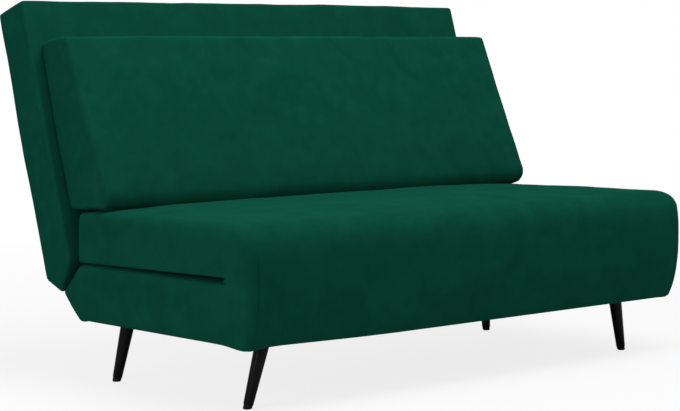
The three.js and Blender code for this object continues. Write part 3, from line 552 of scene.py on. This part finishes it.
# Back: the reclining slab, modelled upright and then leant back.
def make_back():
    corners = (
        (BACK_TIP[0], BACK_TIP[1], 0.005, 0.011),
        (BACK_THICKNESS, -BACK_REAR_FOOT, 0.010, 0.009),
        (BACK_THICKNESS, BACK_LENGTH, 0.007, 0.011),
        (0, BACK_LENGTH, 0.010, 0.008),
        (0, BACK_SHOULDER_RISE, 0.008, 0.008),
        (BACK_SHOULDER, -BACK_SHOULDER, 0.008, 0.008),
    )
    low = (-BACK_HALF, 0, BACK_TIP[1])
    high = (BACK_HALF, BACK_THICKNESS, BACK_LENGTH)
    back = new_block("back_skin", low, high)
    for i in (0, 4, 5):
        slice_off(back, corners[i][:2], corners[(i + 1) % 6][:2])
    round_block(back, BACK_HALF, corners)
    score(back, 0, spread(-BACK_HALF, BACK_HALF, PITCH))
    score(back, 2, spread(BACK_SHOULDER_RISE, BACK_LENGTH, PITCH))
    score(back, 1, spread(0, BACK_THICKNESS, SLAB_PITCH))
    panel_half = BACK_HALF - PANEL_INSET
    for shift in (-SEAM_WIDTH, 0, SEAM_WIDTH):
        score(back, 0, [-panel_half + shift, panel_half + shift])
        score(back, 2, [PANEL_INSET / 2 + shift, BACK_LENGTH - PANEL_INSET + shift])
    modify(back, "SUBSURF", levels=2, render_levels=2)

    def shape(place, normal):
        """Crowns the front, swells the ends, draws the rear panel's seam in and adds unevenness."""
        width = 1 - abs(place.x / BACK_HALF) ** 4
        front = max(-normal.y, 0) ** 2
        place.y -= BACK_CROWN * front * width * hump(place.z / BACK_LENGTH, 2)
        side = abs(normal.x) * hump(place.y / BACK_THICKNESS, 2)
        swell = BACK_SWELL * (1 - place.y / BACK_THICKNESS)
        place.x *= 1 + swell / BACK_HALF
        place.x += math.copysign(0.002, place.x) * side
        top = ease(place.z, BACK_LENGTH - 0.05, BACK_LENGTH)
        place.z += BACK_TOP_RISE * top * (1 - ease(place.x, 0.45, 0.72))
        if normal.y > 0.7:
            beside = max(
                abs(place.x) - panel_half,
                PANEL_INSET / 2 - place.z,
                place.z - BACK_LENGTH + PANEL_INSET)
            place.y -= 1.1 * seam_dip(beside)
        place.y += REAR_FULLNESS * max(normal.y, 0)
        place.x += BACK_SHIFT
        return place + normal * (uneven(place, 0.17, 0.0022) + uneven(place, 0.05, 0.0006))

    move_points(back, shape)
    lean_back(back)
    notches = []
    for side in (-1, 1):
        bpy.ops.object.select_all(action="DESELECT")
        bpy.ops.mesh.primitive_cylinder_add(
            vertices=64, radius=HINGE_NOTCH, depth=HINGE_SLOT[1] - HINGE_SLOT[0],
            location=(side * sum(HINGE_SLOT) / 2, PIVOT_Y, PIVOT_Z), rotation=(0, math.pi / 2, 0))
        notches.append(keep(bpy.context.object, "hinge_notch"))
    cut_out(back, notches)
    return back


def lean_back(obj):
    """Puts an upright slab on the back's foot and leans it."""
    pick(obj)
    obj.location = (0, *BACK_FOOT)
    obj.rotation_euler = (-LEAN, 0, 0)
    bpy.ops.object.transform_apply(location=True, rotation=True, scale=True)
    return obj


def back_front(z):
    """Depth of the back's front face at a height."""
    return BACK_FOOT[0] + (z - BACK_FOOT[1]) * math.tan(LEAN)


# Back cushion: one wide boxed wedge, loose on the seat and against the back.
def make_cushion(seat, back):
    floor = CUSHION_HEEL[1] - 0.001
    top = CUSHION_TOP + CUSHION_TOP_RISE + 0.002
    corners = (
        (depth(CUSHION_HEEL[0] - 0.012), floor, 0.010, 0.007),
        (back_front(floor) - 0.001, floor, 0.012, 0.012),
        (back_front(top) - 0.001, top, 0.014, 0.018),
        (depth(CUSHION_TOP_DEPTH), top, 0.016, 0.011),
        (depth(CUSHION_FRONT[0]), CUSHION_FRONT[1] - 0.006, 0.018, 0.009),
    )
    low = (-CUSHION_HALF, min(c[0] for c in corners), min(c[1] for c in corners))
    high = (CUSHION_HALF, max(c[0] for c in corners), max(c[1] for c in corners))
    cushion = new_block("back_cushion_skin", low, high)
    for i in range(1, 5):
        slice_off(cushion, corners[i][:2], corners[(i + 1) % 5][:2])
    flat = [face.normal.copy() for face in cushion.data.polygons]
    round_block(cushion, high[0], corners, segments=3)
    modify(cushion, "REMESH", mode="VOXEL", voxel_size=CUSHION_VOXEL)
    seams = cushion.vertex_groups.new(name="seams")
    for vertex in cushion.data.vertices:
        if max(vertex.normal.dot(normal) for normal in flat) < SEAM_FACING:
            seams.add([vertex.index], 1.0, "REPLACE")
    inflate(cushion, "seams", pressure=4, cap=0.024, frames=20)
    modify(cushion, "SUBSURF", levels=1, render_levels=1)

    front_foot = Vector((0, depth(CUSHION_FRONT[0]), CUSHION_FRONT[1]))
    front_out = Vector((0, top - CUSHION_FRONT[1], CUSHION_FRONT[0] - CUSHION_TOP_DEPTH)).normalized()
    top_drop, top_draw, heel_lift = 0.012, 0.008, 0.010
    top_reach, rear_reach, heel_reach = 0.060, 0.09, 0.07

    def settle(place, normal):
        """Drops the rear top corners, lifts the ends of the heel and draws the seams in."""
        end = max(0, (abs(place.x) - CUSHION_END) / CUSHION_END_RUN)
        rise = max(0, (place.z - CUSHION_TOP + top_reach) / top_reach)
        rear = within(1 - (back_front(place.z) - place.y) / rear_reach)
        place.z -= top_drop * end ** 3 * rise * rear
        place.x -= math.copysign(top_draw, place.x) * end * rise ** 2 * rear
        low = max(0, 1 - (place.z - CUSHION_HEEL[1]) / heel_reach)
        place.z += heel_lift * end ** 2 * low * (1 - rear)
        behind_front = (place - front_foot).dot(front_out)
        before_back = (back_front(place.z) - place.y) * math.cos(LEAN)
        seam = seam_dip(behind_front - BOX_SEAM) + seam_dip(before_back - REAR_SEAM)
        soft = uneven(place, 0.19, 0.0024) + uneven(place, 0.06, 0.0008)
        place.x += CUSHION_SHIFT
        return place + normal * (soft - seam)

    move_points(cushion, settle)
    stand_clear(cushion, seat, back)
    return cushion


def inflate(obj, pinned, pressure, cap, frames):
    """Blows a closed cloth up between its pinned seams and limits how far each point may move."""
    before = [vertex.co.copy() for vertex in obj.data.vertices]
    pick(obj)
    bpy.ops.object.modifier_add(type="CLOTH")
    cloth = obj.modifiers[-1]
    cloth.settings.vertex_group_mass = pinned
    cloth.settings.use_pressure = True
    cloth.settings.uniform_pressure_force = pressure
    cloth.settings.effector_weights.gravity = 0
    cloth.point_cache.frame_start = 1
    cloth.point_cache.frame_end = frames
    scene = bpy.context.scene
    for number in range(1, frames + 1):
        scene.frame_set(number)
    bpy.ops.object.modifier_apply(modifier=cloth.name)
    scene.frame_set(1)
    for vertex, old in zip(obj.data.vertices, before):
        moved = vertex.co - old
        if moved.length > 0:
            swelling = FACE_CROWN * cap * (1 - math.exp(-moved.length / cap))
            vertex.co = old + moved.normalized() * swelling


def stand_clear(obj, *others):
    """Flattens a soft piece on its neighbours, where it would go into them."""
    for other in others:
        tree = BVHTree.FromObject(other, bpy.context.evaluated_depsgraph_get())
        for vertex in obj.data.vertices:
            place, normal, _, _ = tree.find_nearest(vertex.co, 0.05)
            if place and (vertex.co - place).dot(normal) < CONTACT_GAP:
                vertex.co = place + normal * CONTACT_GAP


# Front cover: one cloth from the base's hem up the front and over the seat to its rear.
def make_front_cover(base, seat):
    outline = [
        (depth(0.028), CLEARANCE), (depth(0.004), CLEARANCE), (depth(-0.002), CLEARANCE + 0.01),
        (depth(-FRONT_BULGE), FOLD),
        (depth(-SEAT_SETBACK), SEAT_FRONT_TOP - 0.058),
        (depth(0.012), SEAT_FRONT_TOP - 0.014), (depth(0.052), SEAT_FRONT_TOP + 0.006),
        (depth(0.2), SEAT_FRONT_TOP + 0.014), (depth(0.5), SEAT_REAR_TOP + 0.014),
        (depth(SEAT_DEPTH - 0.02), SEAT_REAR_TOP + 0.002),
    ]
    runs = [math.dist(a, b) for a, b in zip(outline, outline[1:])]
    length = sum(runs)
    bpy.ops.object.select_all(action="DESELECT")
    bpy.ops.mesh.primitive_grid_add(x_subdivisions=COVER_COLUMNS, y_subdivisions=COVER_ROWS, size=1)
    cover = keep(bpy.context.object, "front_cover")

    def along(share):
        """The outline's depth and height at a share of its length."""
        left = share * length
        for (a, b), run in zip(zip(outline, outline[1:]), runs):
            if left <= run + 1e-9:
                return a[0] + (b[0] - a[0]) * left / run, a[1] + (b[1] - a[1]) * left / run
            left -= run
        return outline[-1]

    def lay(place, normal):
        y, z = along(place.y + 0.5)
        return Vector((place.x * 2 * SEAM_X, y, z))

    move_points(cover, lay)
    pick(base)
    seat.select_set(True)
    bpy.ops.object.duplicate()
    bpy.context.view_layer.objects.active = bpy.context.selected_objects[0]
    bpy.ops.object.join()
    body = bpy.context.object
    body.name = "cover_form"
    modify(
        cover, "SHRINKWRAP", target=body, wrap_method="NEAREST_SURFACEPOINT",
        wrap_mode="OUTSIDE_SURFACE", offset=COVER_LIFT)
    modify(cover, "SMOOTH", factor=0.5, iterations=3)

    sink = COVER_LIFT + COVER_THICKNESS + 0.0008

    def tuck(place, normal):
        """Sinks the cloth's edges into the seat's cover: its sides from the top of the front, its rear."""
        top = within((place.z - TUCK_HEIGHT) / TUCK_RISE)
        beside = within((abs(place.x) - SEAM_X + TUCK_SIDE) / TUCK_SIDE_RUN)
        behind = within((place.y - depth(SEAT_DEPTH - TUCK_REAR)) / TUCK_REAR_RUN)
        edge = ease(max(beside, behind), 0, 1)
        return place - normal * top * edge * sink

    move_points(cover, tuck)
    modify(cover, "SOLIDIFY", thickness=COVER_THICKNESS, offset=1)
    bpy.data.objects.remove(body)
    return cover, length


# Legs: splayed, tapered round legs, each on a domed glide.
def make_leg(name):
    foot = Vector(mount_places["foot_" + name])
    side = math.copysign(1, foot.x)
    splay = LEG_SPLAYS[name.split("_")[0]]
    end = CLEARANCE - LEG_PLATE
    top = Vector((foot.x - side * splay[0], foot.y + splay[1], end))
    axis = (top - foot).normalized()
    reach = (top - foot).length + LEG_OVERRUN
    taper = (LEG_TOP_RADIUS - LEG_FOOT_RADIUS) / (top - foot).length

    def turned(label, start, stop, low_radius, high_radius):
        bpy.ops.object.select_all(action="DESELECT")
        bpy.ops.mesh.primitive_cone_add(
            vertices=48, radius1=low_radius, radius2=high_radius, depth=stop - start,
            location=foot + axis * (start + stop) / 2, rotation=axis.to_track_quat("Z", "Y").to_euler())
        return keep(bpy.context.object, label)

    leg = turned(
        "turned_leg_" + name, GLIDE_LENGTH, reach, LEG_FOOT_RADIUS, LEG_FOOT_RADIUS + taper * reach)
    open_mesh(leg)
    choose_faces(leg, lambda middle, normal: normal.dot(axis) < -0.9)
    bpy.ops.mesh.bevel(offset=0.0022, segments=3, affect="EDGES")
    bpy.ops.mesh.select_all(action="SELECT")
    bpy.ops.mesh.bisect(plane_co=top, plane_no=(0, 0, 1), use_fill=True, clear_outer=True)
    close_mesh()
    glide = turned("turned_glide_" + name, -0.004, GLIDE_LENGTH + 0.001, GLIDE_RADIUS, GLIDE_RADIUS)
    open_mesh(glide)
    bpy.ops.mesh.select_all(action="SELECT")
    bpy.ops.mesh.bisect(plane_co=(0, 0, 0), plane_no=(0, 0, 1), use_fill=True, clear_inner=True)
    choose_faces(glide, lambda middle, normal: normal.z < -0.9)
    bpy.ops.mesh.bevel(offset=0.003, segments=4, affect="EDGES")
    close_mesh()
    return leg, glide


# Round steel tubes and rubber ends of the seat legs and of the back leg.
def make_rod(name, start, end, radius, wall=None):
    """A round rod with softened ends, or a tube where it has a wall."""
    axis = (end - start).normalized()
    bpy.ops.object.select_all(action="DESELECT")
    bpy.ops.mesh.primitive_cylinder_add(
        vertices=40, radius=radius, depth=(end - start).length, location=(start + end) / 2,
        rotation=axis.to_track_quat("Z", "Y").to_euler())
    rod = keep(bpy.context.object, name)
    open_mesh(rod)
    choose_faces(rod, lambda middle, normal: abs(normal.dot(axis)) > 0.9)
    if wall:
        bpy.ops.mesh.inset(thickness=wall, use_individual=True)
        bpy.ops.mesh.bridge_edge_loops()
    close_mesh()
    width = wall / 4 if wall else radius / 5
    modify(rod, "BEVEL", width=width, segments=3, limit_method="ANGLE", angle_limit=math.radians(50))
    return rod


def make_supports():
    """Tubes and rubber ends with the node each replaces, its slot and its body."""
    made = []
    for side, sign in (("left", -1), ("right", 1)):
        tip_low, tip_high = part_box("seat_leg_tip_" + side)
        leg_low, leg_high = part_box("seat_leg_" + side)
        y = (leg_low[1] + leg_high[1]) / 2
        z = (leg_low[2] + leg_high[2]) / 2
        outer = leg_low[0] if sign < 0 else leg_high[0]
        inner = leg_high[0] if sign < 0 else leg_low[0]
        tip_end = tip_high[0] if sign < 0 else tip_low[0]
        tip_start = tip_low[0] if sign < 0 else tip_high[0]
        body = "seat_leg_" + side
        made.append((make_rod(
            "seat_tube_" + side, Vector((outer, y, z)), Vector((inner, y, z)), TUBE_RADIUS, TUBE_WALL),
            body, "black_steel", body))
        made.append((make_rod(
            "seat_foot_" + side, Vector((tip_start, y, z)), Vector((tip_end, y, z)), TIP_RADIUS),
            "seat_leg_tip_" + side, "glide", body))
    bar_low, bar_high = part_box("back_leg_bar")
    bar = Vector((0, (bar_low[1] + bar_high[1]) / 2, (bar_low[2] + bar_high[2]) / 2))
    swing = Vector((0, *joint_places["back_leg_swing"][1:]))
    down = (bar - swing).normalized()
    half = bar_high[0]
    across = Vector((half, 0, 0))
    made.append((
        make_rod("back_tube_bar", bar - across, bar + across, TUBE_RADIUS, TUBE_WALL),
        "back_leg_bar", "black_steel", "back_leg"))
    for side in ("left", "right"):
        low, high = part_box(f"back_leg_{side}_arm")
        shift = Vector(((low[0] + high[0]) / 2, 0, 0))
        top = swing - down * ARM_PAST + shift
        foot = bar - down * TUBE_RADIUS * 0.95 + shift
        made.append((
            make_rod("back_tube_" + side, top, foot, TUBE_RADIUS, TUBE_WALL),
            f"back_leg_{side}_arm", "black_steel", "back_leg"))
        cap_low, cap_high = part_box("back_leg_cap_" + side)
        start, end = (half, cap_high[0]) if side == "right" else (-half, cap_low[0])
        inner, outer = bar + Vector((start, 0, 0)), bar + Vector((end, 0, 0))
        made.append((
            make_rod("back_plug_" + side, inner, outer, TUBE_RADIUS),
            "back_leg_cap_" + side, "glide", "back_leg"))
    return made


# Materials.
class Finish:
    """A material that is being built, with short calls for its nodes."""

    def __init__(self, name):
        self.material = bpy.data.materials.new(name)
        self.material.use_nodes = True
        self.tree = self.material.node_tree
        self.shader = self.tree.nodes["Principled BSDF"]
        self.place = self.node("ShaderNodeTexCoord").outputs["Object"]

    def node(self, kind, **settings):
        made = self.tree.nodes.new(kind)
        for key, value in settings.items():
            setattr(made, key, value)
        return made

    def feed(self, node, **values):
        """Links or sets inputs by name, with an underscore for each space."""
        for key, value in values.items():
            name = key.replace("_", " ")
            if isinstance(value, bpy.types.NodeSocket):
                self.tree.links.new(value, node.inputs[name])
            else:
                node.inputs[name].default_value = value

    def shine(self, **values):
        self.feed(self.shader, **values)

    def grain(self, scale, detail=3.0, stretch=(1, 1, 1), distortion=0.0, roughness=0.5):
        """Noise over the object, as a factor."""
        mapping = self.node("ShaderNodeMapping")
        self.feed(mapping, Vector=self.place, Scale=stretch)
        made = self.node("ShaderNodeTexNoise")
        self.feed(
            made, Vector=mapping.outputs["Vector"], Scale=scale, Detail=detail, Distortion=distortion,
            Roughness=roughness)
        return made.outputs["Fac"]

    def ramp(self, factor, *stops):
        """Colours at places along a factor."""
        made = self.node("ShaderNodeValToRGB")
        elements = made.color_ramp.elements
        while len(elements) < len(stops):
            elements.new(0.5)
        for element, (place, colour) in zip(elements, stops):
            element.position = place
            element.color = (*colour, 1)
        self.feed(made, Fac=factor)
        return made.outputs["Color"]

    def scaled(self, factor, low, high, start=0.0, end=1.0):
        """Scales a factor from its range, start to end, to the range from low to high."""
        made = self.node("ShaderNodeMapRange")
        self.feed(made, Value=factor, From_Min=start, From_Max=end, To_Min=low, To_Max=high)
        return made.outputs["Result"]

    def blend(self, factor, first, second, kind="MIX"):
        """Mixes two colours by a factor."""
        made = self.node("ShaderNodeMix", data_type="RGBA", blend_type=kind)
        for index, value in ((0, factor), (6, first), (7, second)):
            socket = made.inputs[index]
            if isinstance(value, bpy.types.NodeSocket):
                self.tree.links.new(value, socket)
            else:
                socket.default_value = value if isinstance(value, float) else (*value, 1)
        return made.outputs[2]

    def bump(self, height, strength, distance, normal=None):
        made = self.node("ShaderNodeBump")
        self.feed(made, Height=height, Strength=strength, Distance=distance)
        if normal:
            self.feed(made, Normal=normal)
        return made.outputs["Normal"]


def srgb(red, green, blue):
    """A colour as written on a screen, from 0 to 255, in the shader's own units."""
    def straight(value):
        value /= 255
        return value / 12.92 if value <= 0.04045 else ((value + 0.055) / 1.055) ** 2.4
    return tuple(straight(value) for value in (red, green, blue))


def velvet(name):
    """Bottle-green pile in soft clouds."""
    finish = Finish(name)
    deep, middle, light = srgb(11, 65, 49), srgb(13, 71, 54), srgb(16, 78, 60)
    clouds = finish.grain(11, detail=4, distortion=0.6, roughness=0.55)
    patches = finish.grain(34, detail=3, distortion=0.3)
    both = finish.blend(0.35, clouds, patches)
    colour = finish.ramp(both, (0.30, deep), (0.5, middle), (0.72, light))
    pile = finish.grain(1400, detail=2)
    colour = finish.blend(0.16, colour, finish.ramp(pile, (0.3, (0, 0, 0)), (0.7, light)), "ADD")
    brushed = finish.grain(60, detail=2, stretch=(1, 1, 3))
    finish.shine(
        Base_Color=colour,
        Roughness=finish.scaled(both, 0.72, 0.9, 0.3, 0.7),
        Normal=finish.bump(pile, 0.35, 0.0006, finish.bump(brushed, 0.06, 0.0012)),
    )
    finish.shader.inputs["Sheen Weight"].default_value = 0.12
    finish.shader.inputs["Sheen Roughness"].default_value = 0.4
    finish.shader.inputs["Sheen Tint"].default_value = (0.03, 0.50, 0.33, 1)
    finish.shader.inputs["Specular IOR Level"].default_value = 0
    return finish.material


def painted(name, colour, roughness, gloss):
    """Paint with a faint orange peel."""
    finish = Finish(name)
    tone = finish.grain(90, detail=2)
    orange_peel = finish.grain(900, detail=1)
    finish.shine(
        Base_Color=finish.ramp(tone, (0.3, colour), (0.7, tuple(1.25 * part for part in colour))),
        Roughness=finish.scaled(tone, roughness - 0.05, roughness + 0.07),
        Normal=finish.bump(orange_peel, 0.08, 0.0002),
    )
    finish.shader.inputs["Specular IOR Level"].default_value = gloss
    return finish.material


def zinc():
    finish = Finish("zinc_plate")
    flakes = finish.grain(260, detail=4, distortion=1.2)
    brushed = finish.grain(300, detail=2, stretch=(1, 12, 1))
    finish.shine(
        Base_Color=finish.ramp(flakes, (0.3, (0.30, 0.31, 0.32)), (0.7, (0.44, 0.45, 0.46))),
        Roughness=finish.scaled(flakes, 0.26, 0.42),
        Normal=finish.bump(brushed, 0.08, 0.0002),
    )
    finish.shader.inputs["Metallic"].default_value = 1
    return finish.material


def rubber():
    finish = Finish("black_rubber")
    speckle = finish.grain(700, detail=2)
    finish.shine(
        Base_Color=finish.ramp(speckle, (0.35, (0.006, 0.006, 0.006)), (0.7, (0.014, 0.014, 0.014))),
        Roughness=finish.scaled(speckle, 0.55, 0.75),
        Normal=finish.bump(speckle, 0.2, 0.0003),
    )
    finish.shader.inputs["Specular IOR Level"].default_value = 0.2
    return finish.material


def lining():
    finish = Finish("dust_cloth")
    felt = finish.grain(420, detail=5, roughness=0.7)
    dimples = finish.node("ShaderNodeTexVoronoi", feature="F1")
    finish.feed(dimples, Vector=finish.place, Scale=260.0)
    finish.shine(
        Base_Color=finish.ramp(felt, (0.3, (0.008, 0.008, 0.009)), (0.75, (0.035, 0.035, 0.037))),
        Roughness=finish.scaled(felt, 0.85, 1.0),
        Normal=finish.bump(dimples.outputs["Distance"], 0.4, 0.0005),
    )
    return finish.material


def wood(name, dark, light, along, roughness):
    """Straight-grained wood, its grain along one axis."""
    finish = Finish(name)
    stretch = [14, 14, 14]
    stretch[along] = 0.8
    rings = finish.grain(3.2, detail=5, stretch=stretch, distortion=0.8)
    pores = finish.grain(30, detail=3, stretch=stretch)
    colour = finish.ramp(rings, (0.32, dark), (0.5, light), (0.62, dark), (0.75, light))
    colour = finish.blend(0.18, colour, finish.ramp(pores, (0.4, dark), (0.6, light)))
    finish.shine(
        Base_Color=colour,
        Roughness=finish.scaled(pores, roughness, roughness + 0.15),
        Normal=finish.bump(pores, 0.25, 0.0004),
    )
    return finish.material


def foam():
    finish = Finish("cut_foam")
    cells = finish.node("ShaderNodeTexVoronoi", feature="F1")
    finish.feed(cells, Vector=finish.place, Scale=420.0)
    tone = finish.grain(14, detail=3)
    finish.shine(
        Base_Color=finish.ramp(tone, (0.3, (0.70, 0.63, 0.38)), (0.7, (0.80, 0.74, 0.50))),
        Roughness=finish.scaled(tone, 0.9, 1.0),
        Normal=finish.bump(cells.outputs["Distance"], 0.6, 0.0012),
    )
    return finish.material


def dress(obj, material):
    """Gives a piece its one material."""
    obj.data.materials.clear()
    obj.data.materials.append(material)


# Floor, lights and world.
def floor_paper():
    """Pale paper that is white to the camera far from the sofa and keeps the sofa's shadow near it."""
    finish = Finish("floor_paper")
    mottle = finish.grain(2, detail=2)
    bounced = finish.ramp(mottle, (0.3, (0.59, 0.59, 0.59)), (0.7, (0.61, 0.61, 0.61)))
    path = finish.node("ShaderNodeLightPath")
    finish.shine(
        Base_Color=finish.blend(path.outputs["Is Camera Ray"], bounced, (0.97, 0.97, 0.97)),
        Roughness=0.9,
    )
    finish.shader.inputs["Specular IOR Level"].default_value = 0
    away = finish.node("ShaderNodeVectorMath", operation="LENGTH")
    finish.feed(away, Vector=finish.place)
    glow = finish.scaled(away.outputs["Value"], 0.82, 1.0, 1.2, 3.5)
    share = finish.node("ShaderNodeMath", operation="MULTIPLY")
    finish.tree.links.new(path.outputs["Is Camera Ray"], share.inputs[0])
    finish.tree.links.new(glow, share.inputs[1])
    white = finish.node("ShaderNodeEmission")
    mix = finish.node("ShaderNodeMixShader")
    finish.tree.links.new(share.outputs[0], mix.inputs[0])
    finish.tree.links.new(finish.shader.outputs[0], mix.inputs[1])
    finish.tree.links.new(white.outputs[0], mix.inputs[2])
    finish.tree.links.new(mix.outputs[0], finish.tree.nodes["Material Output"].inputs["Surface"])
    return finish.material


def add_stage():
    bpy.ops.object.select_all(action="DESELECT")
    bpy.ops.mesh.primitive_plane_add(size=60, location=(0, 0, 0))
    floor = keep(bpy.context.object, "floor")
    dress(floor, floor_paper())


def add_light(name, place, aim, width, power):
    """A round soft lamp. Its width is in metres, its power in watts."""
    data = bpy.data.lights.new(name, "AREA")
    data.shape = "DISK"
    data.size = width
    data.energy = power
    light = bpy.data.objects.new(name, data)
    light.location = place
    light.rotation_euler = (Vector(aim) - Vector(place)).to_track_quat("-Z", "Y").to_euler()
    bpy.context.scene.collection.objects.link(light)


def add_lights():
    """Three lamps, each with its place, aim, width and power, and a pale world that the camera sees white."""
    add_light("left", (-3.4, -0.7, 1.2), (-0.6, 0.0, 0.4), 1.4, 24)
    add_light("top", (0, -0.9, 3.2), (0, 0, 0.4), 2.4, 60)
    add_light("rear", (1.5, 4.0, 2.6), (0, 0, 0.5), 2.6, 30)
    world = bpy.data.worlds.new("studio")
    bpy.context.scene.world = world
    world.use_nodes = True
    tree = world.node_tree
    shade = tree.nodes["Background"]
    shade.inputs["Color"].default_value = (1, 1, 1, 1)
    shade.inputs["Strength"].default_value = 0.34
    bright = tree.nodes.new("ShaderNodeBackground")
    bright.inputs["Strength"].default_value = 1.0
    bright.inputs["Color"].default_value = (1, 1, 1, 1)
    path = tree.nodes.new("ShaderNodeLightPath")
    mix = tree.nodes.new("ShaderNodeMixShader")
    tree.links.new(path.outputs["Is Camera Ray"], mix.inputs["Fac"])
    tree.links.new(shade.outputs[0], mix.inputs[1])
    tree.links.new(bright.outputs[0], mix.inputs[2])
    tree.links.new(mix.outputs[0], tree.nodes["World Output"].inputs["Surface"])


add_camera()
add_stage()
add_lights()
bpy.context.scene.view_settings.view_transform = "Standard"

# One finish for each material slot of the record, on the CAD's own nodes as well.
finishes = {
    "velvet": velvet("green_velvet"),
    "lining": lining(),
    "timber": wood("pine_rail", (0.42, 0.25, 0.11), (0.60, 0.40, 0.20), 0, 0.55),
    "slats": wood("birch_ply", (0.55, 0.38, 0.20), (0.72, 0.54, 0.33), 1, 0.5),
    "foam": foam(),
    "leg_paint": painted("satin_black_paint", (0.004, 0.004, 0.004), 0.34, 0.15),
    "glide": rubber(),
    "black_steel": painted("black_powder_coat", (0.012, 0.012, 0.013), 0.45, 0.25),
    "zinc_steel": zinc(),
}
for part in frame["record"]["subparts"]:
    dress(frame["nodes"][part["node"]], finishes[part["material_slot"]])


def hand_over(piece, replaced, slot, body):
    """Dresses a piece, smooths its shading, hides the CAD nodes that it replaces and hangs it on the body that
    carries it.
    """
    dress(piece, finishes[slot])
    smooth(piece)
    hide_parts(*replaced)
    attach(piece, body)


base = make_base()
seat = make_seat()
cover, cover_length = make_front_cover(base, seat)
ease_fold(base)
ease_fold(seat)
back = make_back()
cushion = make_cushion(seat, back)
hand_over(base, ["base_cover"], "velvet", "base")
hand_over(seat, ["seat_cover", "seat_under_panel"], "velvet", "seat")
hand_over(back, ["back_cover", "back_rear_panel"], "velvet", "back")
hand_over(cushion, ["back_cushion"], "velvet", "cushion")
for corner in ("front_left", "front_right", "rear_left", "rear_right"):
    leg, glide = make_leg(corner)
    hand_over(leg, ["leg_" + corner], "leg_paint", "base")
    hand_over(glide, ["leg_glide_" + corner], "glide", "base")
for piece, node, slot, body in make_supports():
    hand_over(piece, [node], slot, body)

# The front cover runs across the fold from the base to the seat. It is attached to no body, and the fold spine's
# node is hidden.
dress(cover, finishes["velvet"])
smooth(cover)
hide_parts("fold_spine")
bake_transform(cover)
